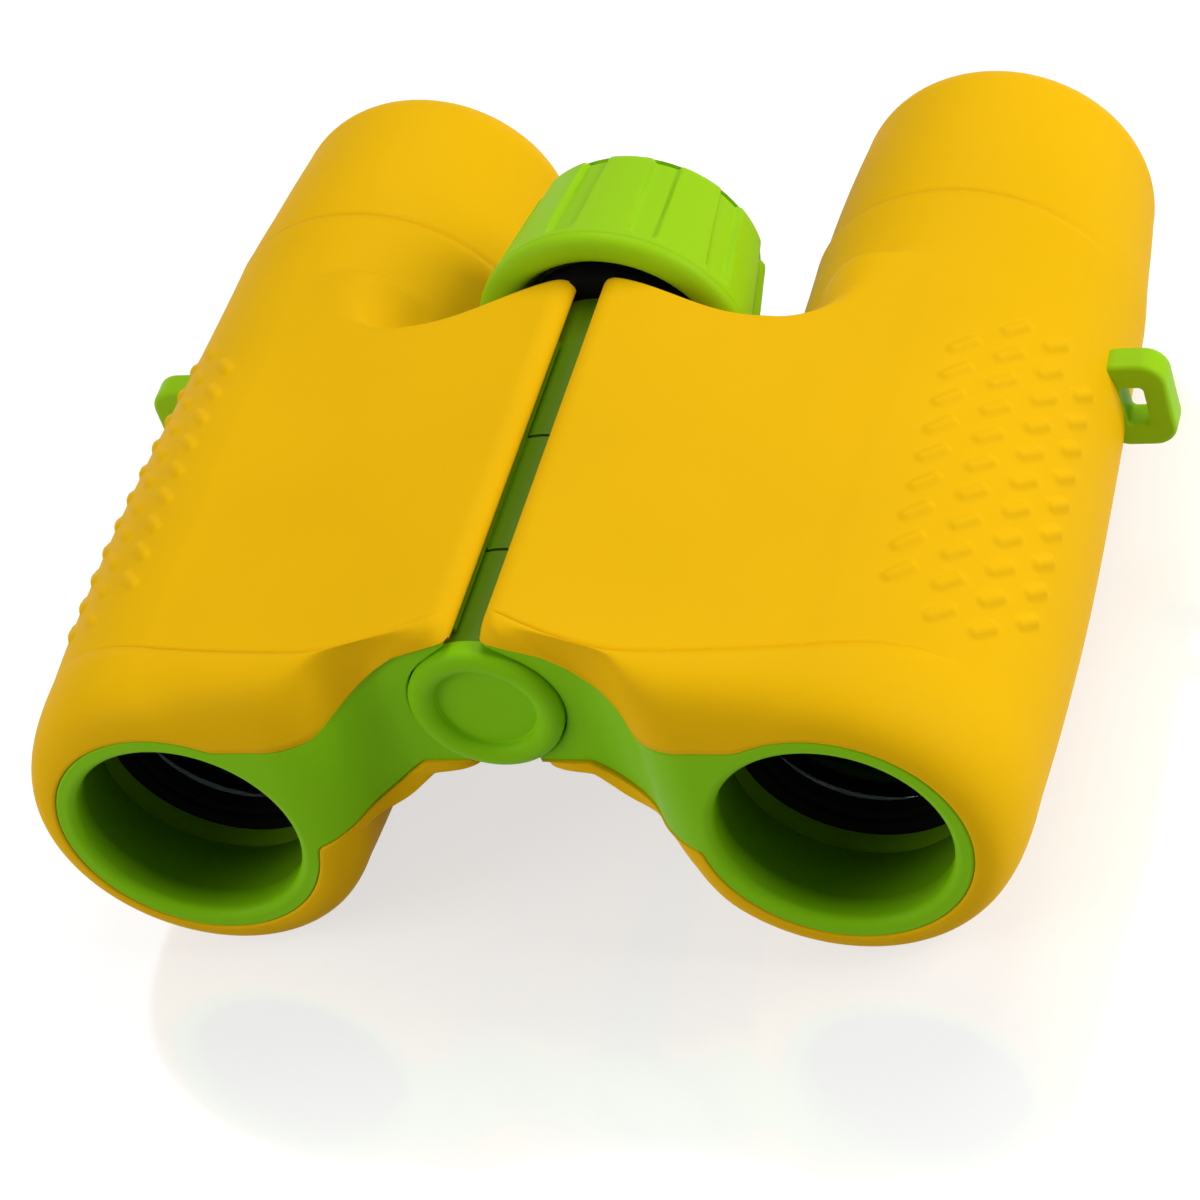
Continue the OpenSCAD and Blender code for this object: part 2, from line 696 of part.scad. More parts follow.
// A lens with a domed front and a flat back, cut from a sphere
dome_fn = 240;
lens_gap = 0.3;
module lens(d, edge, dome_r) {
    sag = dome_r - sqrt(dome_r * dome_r - d * d / 4);
    intersection() {
        translate([0, 0, -sag]) rod(d / 2, edge + sag);
        translate([0, 0, dome_r - sag]) sphere(r = dome_r, $fn = dome_fn);
    }
}

// Objective cell: a sliding sleeve with a seat for the lens and a groove for the focus arm
ring_len = 1.6;
ring_set = 0.7;
objective_edge = 2.2;
objective_dome = 42;
cell_stop_r = objective_d / 2 - 0.8;
lens_y = cell_front + ring_set + ring_len + lens_gap;
groove_in = 0.9;
module objective_cell(arm_y) {
    color([0.07, 0.07, 0.07])
    difference() {
        on_barrel(cell_front) rod(cell_r, cell_len);
        on_barrel(cell_front - over) rod(cell_stop_r, cell_len + 2 * over);
        on_barrel(cell_front - over) rod(cell_seat_r, lens_y + objective_edge + seat - cell_front + over);
        arm_frame()
            translate([arm_span - cell_r - over, arm_y - seat, -arm_t / 2 - seat])
                cube([groove_in + over, arm_w + 2 * seat, arm_t + 2 * seat]);
    }
}

module objective_lens() {
    color([0.55, 0.65, 0.75, 0.5]) on_barrel(lens_y) lens(objective_d, objective_edge, objective_dome);
}

module objective_ring() {
    color([0.05, 0.05, 0.05])
        on_barrel(cell_front + ring_set) ring(cell_seat_r - run, cell_stop_r, ring_len);
}

// Prism cage: a plug in the tube with a square path for the two prisms
cage_r = tube_bore_r - seat;
prism_gap = 0.3;
prism_slope = tan(22.5);
prism_front = cage_front + 1.5;
prism_rear = cage_front + cage_len - 1.5;
prism_mid = (prism_front + prism_rear) / 2;
module prism_cage() {
    stop = prism_a - 2;
    color([0.10, 0.10, 0.10])
    difference() {
        on_barrel(cage_front) rod(cage_r, cage_len);
        translate([barrel_x - prism_a / 2, prism_front - seat, -prism_a / 2])
            cube([prism_a, prism_rear - prism_front + 2 * seat, prism_a]);
        on_barrel(cage_front - over) rod(stop / 2, cage_len + 2 * over);
        translate([barrel_x - prism_a / 2, prism_front - seat, 0])
            cube([prism_a, prism_rear - prism_front + 2 * seat, cage_r]);
    }
}

// The two prisms meet across a slanted air gap
module prism(outline) {
    color([0.75, 0.85, 0.90, 0.4])
        translate([barrel_x - prism_a / 2 + seat, 0, 0])
            rotate([90, 0, 90]) linear_extrude(prism_a - 2 * seat) polygon(outline);
}

prism_half = prism_a / 2 - seat;
prism_lean = prism_half * prism_slope;
module front_prism() {
    prism([
        [prism_front, -prism_half], [prism_front, prism_half],
        [prism_mid - prism_lean - prism_gap, prism_half],
        [prism_mid + prism_lean - prism_gap, -prism_half]
    ]);
}

module roof_prism() {
    roof = prism_half / 2;
    difference() {
        prism([
            [prism_mid - prism_lean + prism_gap, prism_half],
            [prism_mid + prism_lean + prism_gap, -prism_half],
            [prism_rear, -prism_half], [prism_rear, prism_half]
        ]);
        for (v = [-1, 1])
            translate([barrel_x + v * prism_a / 2, prism_front, prism_half])
                rotate([0, 45, 0])
                    cube([roof * sqrt(2), 3 * prism_a, roof * sqrt(2)], center = true);
    }
}

// Eyepiece: a tube plugged into the chassis, two lenses and a ring that holds the eye lens
eyepiece_r = cup_r - 2.4;
eyepiece_rear = length - 3.2;
eyepiece_plug = 10;
eyepiece_front = tube_rear - eyepiece_plug;
plug_r = tube_bore_r - seat;
field_edge = 2.4;
field_dome = 30;
eye_edge = 2.2;
eye_dome = 22;
eye_ring_len = 1.8;
field_y = eyepiece_front + 1.6;
eye_y = eyepiece_rear - eye_ring_len - eye_edge - lens_gap;
eye_stop_r = eye_lens_d / 2 - 0.8;
module eyepiece_tube() {
    color([0.08, 0.08, 0.08])
    difference() {
        union() {
            on_barrel(eyepiece_front) rod(plug_r, eyepiece_plug + over);
            on_barrel(tube_rear) rod(eyepiece_r, eyepiece_rear - tube_rear);
        }
        on_barrel(eyepiece_front - over) rod(eye_stop_r, length);
        on_barrel(eyepiece_front - over)
            rod(field_lens_d / 2 + seat, field_y + field_edge + seat - eyepiece_front + over);
        on_barrel(eye_y) rod(eye_lens_d / 2 + seat, length);
        on_barrel(eyepiece_rear - eye_ring_len) rod(eye_ring_r + seat, eye_ring_len + over);
    }
}

module field_lens() {
    color([0.60, 0.70, 0.80, 0.5]) on_barrel(field_y) lens(field_lens_d, field_edge, field_dome);
}

module eye_lens() {
    color([0.60, 0.70, 0.80, 0.5])
        on_barrel(eye_y + eye_edge) mirror([0, 0, 1]) lens(eye_lens_d, eye_edge, eye_dome);
}

eye_ring_r = eye_lens_d / 2 + 2.4;
module eyepiece_ring() {
    color([0.06, 0.06, 0.06])
        on_barrel(eyepiece_rear - eye_ring_len) ring(eye_ring_r, eye_lens_d / 2 - 0.6, eye_ring_len);
}

// Focus nut: a journal for the left arm's collar, a front flange, and a seat for the right arm
module focus_nut() {
    color([0.72, 0.60, 0.30])
    difference() {
        union() {
            on_hinge(nut_front) rod(nut_r, flange_t);
            on_hinge(nut_front) rod(journal_r, nut_len);
        }
        on_hinge(nut_front - over) rod(spindle_r + run, nut_len + 2 * over);
    }
}

// Each arm is a collar on the nut and a bar that reaches into the objective cell
module arm_bar(y) {
    arm_frame()
        translate([journal_r + 0.5, y, -arm_t / 2])
            cube([arm_span - cell_r + groove_in - journal_r - 0.5, arm_w, arm_t]);
}

module right_focus_arm() {
    color([0.25, 0.25, 0.27])
    difference() {
        union() {
            on_hinge(right_arm_y) rod(nut_r, arm_w);
            arm_bar(right_arm_y);
        }
        on_hinge(right_arm_y - over) rod(journal_r + seat, arm_w + 2 * over);
    }
}

module left_focus_arm() {
    color([0.25, 0.25, 0.27])
    difference() {
        union() {
            on_hinge(left_arm_y) rod(nut_r, arm_w);
            left() arm_bar(left_arm_y);
        }
        on_hinge(left_arm_y - over) rod(journal_r + run, arm_w + 2 * over);
    }
}

// Spindle, clip and wheel turn together
module focus_spindle() {
    front = cavity_front + 2 * seat;
    color([0.70, 0.70, 0.72]) on_hinge(front) rod(spindle_r, wheel_back - cap_t - front);
}

module spindle_clip() {
    color([0.30, 0.30, 0.32])
        on_hinge(cavity_rear - clip_t - run) ring(spindle_r + 1, spindle_r, clip_t);
}

// Focus wheel: a tapered cup with a rounded front ring, a hub and grip grooves
ring_w = 2.6;
wheel_round = 1.1;
hub_r = 5.2;
hub_front = wheel_front + 3.6;
hollow_len = 6.4;
sleeve_t = 0.5;
hollow_r = wheel_back_r - wheel_round - 2 * sleeve_t;
cap_t = 1.2;
band_front = wheel_front + 2.4;
groove_front = band_front + 0.8;
wheel_taper = atan2(wheel_front_r - wheel_back_r, wheel_back - wheel_round - band_front);
band_r = wheel_front_r;
band_bore_r = hollow_r + sleeve_t;
groove_front_r = band_r - (groove_front - band_front) * tan(wheel_taper);
groove_tilt = wheel_taper + atan2(groove_depth, wheel_back - groove_front);
module focus_wheel() {
    core = concat(
        [[spindle_r + seat, hub_front], [hub_r, hub_front], [hub_r, wheel_front + hollow_len]],
        [[hollow_r, wheel_front + hollow_len]],
        [[hollow_r, wheel_front + 2 * wheel_round]],
        arc([wheel_front_r - ring_w + wheel_round, wheel_front + wheel_round], wheel_round, 180, 290, 6),
        arc([wheel_front_r - wheel_round, wheel_front + 2.2], wheel_round, -50, 0, 4),
        [[band_r, band_front], [band_bore_r, band_front], [band_bore_r, wheel_back]],
        [[hub_r, wheel_back], [hub_r, wheel_back - cap_t], [spindle_r + seat, wheel_back - cap_t]]);
    band = [
        [band_bore_r, band_front], [band_r, band_front],
        [wheel_back_r, wheel_back - wheel_round], [wheel_back_r - wheel_round, wheel_back],
        [band_bore_r, wheel_back]
    ];
    color([0.50, 0.80, 0.12]) {
        on_hinge(0) rotate_extrude() polygon(core);
        difference() {
            on_hinge(0) rotate_extrude() polygon(band);
            for (i = [0 : groove_count - 1])
                on_hinge(groove_front)
                    rotate([0, 0, 360 * i / groove_count])
                        translate([groove_front_r, 0, 0])
                            rotate([0, -groove_tilt, 0]) groove();
        }
    }
}

// Cutter for one groove: flat, with sloping walls, starting at the wheel's surface
module groove() {
    wall = 2;
    linear_extrude(wheel_back - groove_front + over)
        polygon([
            [0, -groove_w / 2], [0, groove_w / 2],
            [wall, groove_w / 2 + wall], [wall, -groove_w / 2 - wall]
        ]);
}

module wheel_cap() {
    color([0.42, 0.70, 0.10]) on_hinge(wheel_back - cap_t) rod(hub_r - seat, cap_t);
}

// Hinge hardware
module hinge_pin() {
    color([0.75, 0.75, 0.78])
        on_hinge(knuckle_front) rod(pin_r, cavity_front - knuckle_front);
}

module hinge_bush() {
    color([0.78, 0.65, 0.30])
        on_hinge(cavity_rear) ring(bush_r, spindle_r + run, knuckle_rear - cavity_rear);
}

// Front cap: a rounded ring round a flat dish
cap_front = 4.7;
cap_dish_y = 5.6;
module hinge_cap() {
    crest = (cap_r - cap_dish_r) / 2;
    crest_h = cap_dish_y - cap_front;
    profile = concat(
        [[0, knuckle_front], [0, cap_dish_y]],
        [for (i = [0 : 10])
            let (t = 180 * i / 10)
            [cap_dish_r + crest - crest * cos(t), cap_dish_y - crest_h * sin(t)]],
        [[cap_r, knuckle_front]]);
    color([0.50, 0.78, 0.12]) on_hinge(0) rotate_extrude() polygon(profile);
}

// Black collar between the rear knuckle and the wheel
collar_r = hollow_r - 1.5 * air;
collar_len = 2.8;
module hinge_collar() {
    color([0.06, 0.06, 0.06]) on_hinge(knuckle_rear) ring(collar_r, spindle_r + air, collar_len);
}

// Friction washers between the knuckles
module hinge_washers() {
    thick = air - 2 * run;
    color([0.20, 0.20, 0.20]) {
        on_hinge(division_1 + run) ring(knuckle_r - 0.6, pin_r + run, thick);
        on_hinge(division_2 - run - thick) ring(knuckle_r - 0.6, bush_r + run, thick);
    }
}

place() armour();  // right_armour
place() left() armour();  // left_armour
place() right_chassis();
place() left_chassis();
place() bezel();  // right_bezel
place() left() bezel();  // left_bezel
place() strap_lug();  // right_strap_lug
place() left() strap_lug();  // left_strap_lug
place() objective_cell(right_arm_y);  // right_objective_cell
place() left() objective_cell(left_arm_y);  // left_objective_cell
place() objective_lens();  // right_objective_lens
place() left() objective_lens();  // left_objective_lens
place() objective_ring();  // right_objective_ring
place() left() objective_ring();  // left_objective_ring
place() prism_cage();  // right_prism_cage
place() left() prism_cage();  // left_prism_cage
place() front_prism();  // right_front_prism
place() left() front_prism();  // left_front_prism
place() roof_prism();  // right_roof_prism
place() left() roof_prism();  // left_roof_prism
place() eyepiece_tube();  // right_eyepiece_tube
place() left() eyepiece_tube();  // left_eyepiece_tube
place() field_lens();  // right_field_lens
place() left() field_lens();  // left_field_lens
place() eye_lens();  // right_eye_lens
place() left() eye_lens();  // left_eye_lens
place() eyepiece_ring();  // right_eyepiece_ring
place() left() eyepiece_ring();  // left_eyepiece_ring
place() right_focus_arm();
place() left_focus_arm();
place() focus_nut();
place() focus_spindle();
place() spindle_clip();
place() focus_wheel();
place() wheel_cap();
place() hinge_pin();
place() hinge_bush();
place() hinge_cap();
place() hinge_collar();
place() hinge_washers();
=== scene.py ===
"""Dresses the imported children's binoculars.

The rubber skins, green faces, wheel, hinge cap and strap lugs are built here at full detail on the
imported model's own sizes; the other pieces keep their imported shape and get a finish. Sizes in the
formulas are millimetres with x from the hinge, y from the objective rims and z from the barrel axes.
"""

import math

import bmesh
import bpy
import numpy as np
from mathutils import Matrix, Vector


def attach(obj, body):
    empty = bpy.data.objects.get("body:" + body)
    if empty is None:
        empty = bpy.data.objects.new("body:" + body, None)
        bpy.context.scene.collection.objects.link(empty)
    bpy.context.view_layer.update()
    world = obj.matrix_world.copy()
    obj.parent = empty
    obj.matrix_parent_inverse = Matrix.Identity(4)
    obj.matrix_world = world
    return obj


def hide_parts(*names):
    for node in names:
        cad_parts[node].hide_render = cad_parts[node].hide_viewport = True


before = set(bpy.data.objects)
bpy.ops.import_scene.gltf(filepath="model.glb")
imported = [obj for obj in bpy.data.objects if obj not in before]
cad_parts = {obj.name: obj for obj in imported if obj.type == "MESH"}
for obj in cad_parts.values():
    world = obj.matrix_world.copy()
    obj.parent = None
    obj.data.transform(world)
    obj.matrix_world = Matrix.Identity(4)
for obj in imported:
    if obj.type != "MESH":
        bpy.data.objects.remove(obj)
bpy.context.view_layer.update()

bl_info = {
    "name": "Children's binoculars",
    "version": (1, 0, 0),
    "blender": (4, 5, 0),
    "location": "View3D > Sidebar > Binoculars",
    "description": "Builds the visible pieces of the packed binoculars and the studio they stand in",
    "category": "Object",
}

MM = 0.001
FAR = 1000.0
SIDES = {"right": 1, "left": -1}


def size(name, millimetres, description):
    """A length property given in millimetres."""
    return bpy.props.FloatProperty(
        name=name, description=description, default=millimetres * MM,
        min=0.0, precision=5, subtype="DISTANCE", unit="LENGTH")


def angle(name, degrees, description):
    """An angle property given in degrees."""
    return bpy.props.FloatProperty(
        name=name, description=description, default=math.radians(degrees),
        precision=4, subtype="ANGLE", unit="ROTATION")


def count(name, number, description):
    """A whole-number property."""
    return bpy.props.IntProperty(name=name, description=description, default=number, min=1)


def share(name, value, description):
    """A property between 0 and 1."""
    return bpy.props.FloatProperty(
        name=name, description=description, default=value, min=0.0, max=1.0, subtype="FACTOR")


def shift(name, millimetres, description):
    """A length property, given in millimetres, that may lie below zero."""
    return bpy.props.FloatProperty(
        name=name, description=description, default=millimetres * MM,
        precision=5, subtype="DISTANCE", unit="LENGTH")


def power(name, watts, description):
    """A light's power."""
    return bpy.props.FloatProperty(
        name=name, description=description, default=watts, min=0.0, unit="POWER")


def strength(name, value, description):
    """A plain number that isn't below zero."""
    return bpy.props.FloatProperty(name=name, description=description, default=value, min=0.0)


def tint(name, colour, description):
    """A colour property in linear light."""
    return bpy.props.FloatVectorProperty(
        name=name, description=description, default=colour, size=3, min=0.0, max=1.0, subtype="COLOR")


class BarrelSizes(bpy.types.PropertyGroup):
    """Sizes of the two barrels and their eyecups."""

    eye_spacing: size("Eye spacing", 64, "Distance between the two barrel axes")
    length: size("Length", 94, "Overall length from the objective rims to the eyecups")
    belly_r: size("Belly radius", 17.7, "Largest radius of a barrel")
    belly_y: size("Belly place", 28, "Where the barrel is widest")
    shoulder_r: size("Shoulder radius", 17.1, "Barrel radius at the front shoulder line")
    shoulder_y: size("Shoulder line", 7.9, "Where the front shoulder line crosses the barrel")
    waist_r: size("Waist radius", 16.55, "Barrel radius just before the eyecup line")
    cup_y: size("Eyecup line", 70.3, "Where the eyecup line runs")
    cup_r: size("Eyecup radius", 15, "Radius of the eyecup where its end rounding starts")
    cup_round: size("Eyecup rounding", 6.3, "Radius of the rounding round the eyecup's end")
    cup_lean: size("Eyecup lean", 0.6, "How far the eyecup leans in towards the hinge")
    cup_open_r: size("Eyecup opening", 7.9, "Radius of the eyecup's opening")
    step_h: size("Step height", 0.35, "Height of the moulded step at the shoulder and eyecup lines")


class FaceSizes(bpy.types.PropertyGroup):
    """Sizes of the green objective face and the hinge cap."""

    rim_r: size("Rim radius", 13.05, "Outer radius of the green rim")
    bore_r: size("Bore radius", 11.1, "Radius of the opening inside the rim's lip")
    lip_len: size("Lip length", 2, "Length of the straight lip")
    bezel_bore_r: size("Inner bore radius", 11.6, "Radius of the bore behind the lip")
    bezel_len: size("Face thickness", 9, "Thickness of the face from the rim to the chassis")
    face_set: size("Face set-back", 6.5, "How far the face is set back beside the hinge")
    ramp_in: size("Ramp start", 9.4, "Where the face starts to rise from the hinge's flat")
    ramp_out: size("Ramp end", 20.6, "Where the face has risen to the rim")
    cap_r: size("Cap radius", 7.4, "Radius of the hinge cap")
    cap_dish_r: size("Cap dish radius", 4.9, "Radius of the flat dish in the cap")


class BridgeSizes(bpy.types.PropertyGroup):
    """Sizes of the cover wings over the bridge and of the hinge under them."""

    bridge_top: size("Top edge", 20.8, "Height of the cover's top edge at the hinge")
    bridge_bottom: size("Underside", 2, "Height of the bridge's underside")
    bridge_front: size("Front", 6.1, "Front of the cover at the hinge")
    bridge_rear: size("Rear", 54.8, "Rear of the cover at the hinge")
    notch: size("Notch", 4.4, "How far the cover's rear edge curves forward beside the barrel")
    gap_top: size("Slit at the top", 2.6, "Width of the slit between the covers at the top")
    gap_bottom: size("Slit underneath", 6.4, "Width of the slit between the covers underneath")
    hinge_rise: size("Hinge height", 11, "Height of the hinge axis above the barrel axes")
    knuckle_gap: size("Knuckle clearance", 7.35, "Radius kept clear round the hinge")


class GripSizes(bpy.types.PropertyGroup):
    """Sizes of the nubs moulded on the rubber."""

    nub_len: size("Nub length", 3.7, "Length of a grip nub")
    nub_w: size("Nub width", 1.3, "Width of a grip nub")
    nub_h: size("Nub height", 0.34, "How far a nub stands out of the rubber")
    nub_pitch: size("Nub pitch", 3.78, "Pitch of the nubs along a row")
    nub_count: count("Nubs in a row", 11, "Nubs in the longest rows")
    nub_start: size("Grip front", 14.12, "Front of the grip, where the longest rows start")
    nub_angle: angle("First row", 69, "Angle of the first row round the barrel")
    nub_step: angle("Row step", 14.6, "Angle between rows")
    nub_shear: size("Row shear", 0.72, "How far each row starts behind the row above it")
    nub_rows: count("Rows", 4, "Rows of nubs")
    nub_slant: angle("Nub slant", 46, "How far a nub is turned from the ring round the barrel")


class WheelSizes(bpy.types.PropertyGroup):
    """Sizes of the focus wheel."""

    front_r: size("Front radius", 13.9, "Radius of the wheel's front edge")
    back_r: size("Back radius", 12, "Radius of the wheel's back edge")
    front: size("Front", 54.8, "Front of the wheel")
    back: size("Back", 70.3, "Back of the wheel")
    grooves: count("Grooves", 10, "Number of grip grooves")
    groove_turn: angle("Groove turn", 29.6, "Angle of the first groove round the wheel")
    groove_w: size("Groove width", 3.2, "Width of a groove")
    groove_depth: size("Groove depth", 0.6, "Depth of a groove")
    ring_w: size("Ring width", 3.3, "Width of the rounded ring at the wheel's front")
    ring_len: size("Ring length", 1.3, "How far back the ring's outer edge lies")


class LugSizes(bpy.types.PropertyGroup):
    """Sizes of the strap lugs."""

    reach: size("Reach", 21.6, "How far the lug stands out from the barrel axis")
    height: size("Height", 10.3, "Height of the lug")
    thick: size("Thickness", 3.2, "Thickness of the lug along the barrel")
    front: size("Front", 56.6, "Front face of the lug")
    drop: size("Drop", 0.4, "How far the lug's middle lies under the barrel axis")
    corner: size("Corner", 2.4, "Radius of the lug's corners")
    slot_w: size("Slot width", 2.3, "Width of the strap slot")
    slot_h: size("Slot height", 4.8, "Height of the strap slot")
    edge: size("Edge rounding", 0.55, "Rounding of the lug's edges")


class Finishes(bpy.types.PropertyGroup):
    """Colours and gloss of the pieces."""

    yellow: tint("Yellow rubber", (0.900, 0.508, 0.003), "Colour of the rubber skin")
    green_face: tint("Green face", (0.245, 0.585, 0.004), "Colour of the objective faces and the cap")
    green_wheel: tint("Green wheel", (0.330, 0.640, 0.008), "Colour of the wheel and the strap lugs")
    # Painted shade: the chassis green is set darker than the faces' green so the slit between the covers and
    # the back of the bores look shaded.
    green_frame: tint("Green frame", (0.125, 0.270, 0.003), "Colour of the chassis in the slit")
    black: tint("Black plastic", (0.004, 0.004, 0.004), "Colour of the cells, rings and collar")
    grey: tint("Grey plastic", (0.055, 0.055, 0.060), "Colour of the inner arms")
    # Painted shade: the glass is tinted much darker than clear glass so that the view into the barrels looks
    # dark.
    glass: tint("Glass", (0.32, 0.44, 0.40), "Colour of the lenses and prisms")
    steel: tint("Steel", (0.56, 0.56, 0.58), "Colour of the pin and the spindle")
    brass: tint("Brass", (0.60, 0.40, 0.13), "Colour of the nut and the bush")
    rubber_rough: share("Rubber roughness", 0.55, "Roughness of the rubber skin")
    green_rough: share("Green roughness", 0.44, "Roughness of the green plastic")


class StudioSettings(bpy.types.PropertyGroup):
    """The camera, lights and floor."""

    distance: size("Camera distance", 443.77, "Distance from the camera to the middle of the rims")
    azimuth: angle("Azimuth", 28.307, "Camera's turn round the object")
    elevation: angle("Elevation", 41.640, "Camera's height over the horizon")
    roll: angle("Roll", -20.259, "Camera's roll")
    aim_x: shift("Aim across", 9.119, "Sideways shift of the camera")
    aim_y: shift("Aim up", 22.024, "Upward shift of the camera")
    lens: strength("Lens", 144.51, "Focal length on a 36 mm sensor, in millimetres")
    light_size: size("Light size", 400, "Width of each square light")
    right_power: power("Right light", 2.8, "Power of the light from the right")
    left_power: power("Left light", 1.8, "Power of the light from the left")
    top_power: power("Top light", 1.9, "Power of the light from above and behind")
    room_light: strength("Room light", 0.22, "Strength of the even light from all round")
    floor_mirror: share("Floor mirror", 0.22, "How much the floor mirrors the object")
    floor_colour: tint("Floor colour", (0.40, 0.40, 0.40), "Colour of the floor under the lights")
    floor_glow: strength("Floor glow", 0.86, "How far the floor is lifted towards white")


def in_millimetres(group):
    """The group's lengths in millimetres, its angles in degrees and its counts as they are."""
    values = {}
    for prop in group.bl_rna.properties:
        if prop.type not in {"FLOAT", "INT"} or getattr(prop, "is_array", False):
            continue
        value = getattr(group, prop.identifier)
        if prop.unit == "LENGTH":
            value = value / MM
        elif prop.unit == "ROTATION":
            value = math.degrees(value)
        values[prop.identifier] = value
    return values


def mix(a, b, t):
    return a + (b - a) * t


def unit(t):
    return np.clip(t, 0.0, 1.0)


def ease(t):
    return (1 - np.cos(np.pi * unit(t))) / 2


def smooth_min(a, b, k):
    h = np.maximum(k - np.abs(a - b), 0) / k
    return np.minimum(a, b) - h * h * k / 4


def smooth_max(a, b, k):
    return -smooth_min(-a, -b, k)


def cosine(degrees):
    return np.cos(np.radians(degrees))


def sine(degrees):
    return np.sin(np.radians(degrees))


def fan(a0, a1, n):
    """n values from a0 up to, and without, a1."""
    return [mix(a0, a1, i / n) for i in range(n)]


class Skin:
    """The rubber skin's formulas: rays from a pole inside one half, and how far each one reaches."""

    # Roundings, in millimetres
    edge_w = 1.7
    edge_round = 3.6
    low_round = 2.4
    arch_round = 2.0
    face_round = 0.6
    face_bend_round = 5.0
    face_fillet = 3.0
    rim_fillet = 0.6
    join_round = 0.3
    cup_lip = 0.5
    lip_turn = 0.15
    lip_out = 0.08

    # Slopes, in degrees
    arch_slope = -38.5
    ledge_slope = -16.0
    face_lean = -19.0
    face_fall = -40.0

    # Places: drops and rises in millimetres, and shares of a larger size
    face_inset = 0.3
    face_drop = 1.2
    bend_share = 0.375
    bend_drop = 6.7
    shelf_drop = 1.6
    pole_share = 0.57
    pole_rise = 2.0
    arch_share = 0.256
    ledge_share = 0.406
    ledge_drop = 2.2
    rear_share = 0.52
    eyepiece_set = 3.2
    rear_wall_end = 60.5
    wall_share = 0.72
    scoop_share = 0.16
    edge_drop = 0.4
    wall_from = 0.1
    wall_fade = 6.0

    # The nose, the shoulder line and the eyecup
    nose_power = 2.76
    cup_bow = 1.6
    tuck = 0.6
    half_step = 0.14
    crease = 0.22
    dip_x = 15.0
    dip_in = 4.5
    dip_out = 2.5
    cup_fade = 9.0

    # Seats inside the skin, and the least clearance
    tube_seat_r = 12.65
    chassis_seat_r = 14.45
    seat_step = 72.1
    seat_front = 12.0
    clear = 0.05

    # Half the turn, in degrees, between the rays that lie on both sides of a grazing ray
    graze = 0.02

    def __init__(self, scene):
        for group in (scene.binoc_barrel, scene.binoc_face, scene.binoc_bridge, scene.binoc_grip):
            self.__dict__.update(in_millimetres(group))
        self.barrel_x = self.eye_spacing / 2
        self.dip_y = self.shoulder_y - self.dip_out
        self.axis = np.array([self.barrel_x, 0.0])
        self.top_edge = np.array([self.gap_top / 2, self.bridge_top])
        self.bottom_edge = np.array([self.gap_bottom / 2, self.bridge_bottom])
        down = self.bottom_edge - self.top_edge
        self.hinge_normal = np.array([down[1], -down[0]]) / np.hypot(*down)
        self.face_top = np.array([self.gap_top / 2 + self.face_inset, self.bridge_top - self.face_drop])
        self.face_bend = np.array([self.bend_share * self.barrel_x, self.bridge_top - self.bend_drop])
        self.face_shelf = self.rim_r - self.shelf_drop
        self.pole = np.array([self.barrel_x - self.pole_share * self.belly_r,
                              self.bridge_bottom + self.pole_rise])
        self.arch_start = np.array([self.arch_share * self.barrel_x, self.bridge_bottom + self.edge_w])
        self.arch_ledge = np.array([self.ledge_share * self.barrel_x,
                                    self.bridge_bottom - self.ledge_drop])
        self.cup_end = self.length - self.cup_round
        self.cup_front_r = self.waist_r - self.step_h
        self.eyepiece_rear = self.length - self.eyepiece_set
        run = self.ramp_out - self.ramp_in
        self.ramp_r = (run * run + self.face_set ** 2) / (4 * self.face_set)
        self.top_corner = self.angle_to(self.top_edge)
        self.low_corner = 360 + self.angle_to(self.bottom_edge)
        self.grip_top = self.nub_angle + self.nub_step / 2
        self.grip_low = self.grip_top - self.nub_rows * self.nub_step

    def angle_to(self, point):
        return math.degrees(math.atan2(point[1] - self.pole[1], point[0] - self.pole[0]))

    def axis_ray(self, g, r):
        return self.angle_to(self.axis + r * np.array([cosine(g), sine(g)]))

    def axis_fan(self, g0, g1, r, n):
        return [self.axis_ray(g, r) for g in fan(g0, g1, n)]

    def to_circle(self, a, cx, cz, r):
        """Distance from the pole along the ray at a to the far side of a circle round it."""
        dx, dz = self.pole[0] - cx, self.pole[1] - cz
        m = dx * cosine(a) + dz * sine(a)
        return -m + np.sqrt(np.maximum(m * m + r * r - dx * dx - dz * dz, 0))

    def to_hinge(self, a, r):
        """Distance to the near side of a circle round the hinge, or FAR where the ray misses it."""
        dx, dz = self.pole[0], self.pole[1] - self.hinge_rise
        m = dx * cosine(a) + dz * sine(a)
        s = m * m + r * r - dx * dx - dz * dz
        return np.where((s > 0) & (m < 0), -m - np.sqrt(np.maximum(s, 0)), FAR)

    def to_side(self, a, point, normal):
        f = normal[0] * cosine(a) + normal[1] * sine(a)
        d = normal[0] * (point[0] - self.pole[0]) + normal[1] * (point[1] - self.pole[1])
        return np.where(f > 0.001, d / np.where(f > 0.001, f, 1.0), FAR)

    def barrel_r(self, y):
        front = self.belly_r - (self.belly_r - self.shoulder_r) * (
            (self.belly_y - y) / (self.belly_y - self.shoulder_y)) ** 2
        middle = self.belly_r - (self.belly_r - self.waist_r) * ease(
            (y - self.belly_y) / (self.cup_y - self.belly_y))
        cup = self.cup_front_r - (self.cup_front_r - self.cup_r) * np.maximum(
            (y - self.cup_y) / (self.cup_end - self.cup_y), 0) ** self.cup_bow
        return np.where(y < self.belly_y, front, np.where(y < self.cup_y, middle, cup))

    def axis_x(self, y):
        start = self.cup_y * 0.7
        return self.barrel_x - self.cup_lean * ease((y - start) / (self.length - start))

    def barrel_reach(self, a, y):
        return self.to_circle(a, self.axis_x(y), 0.0, self.barrel_r(y))

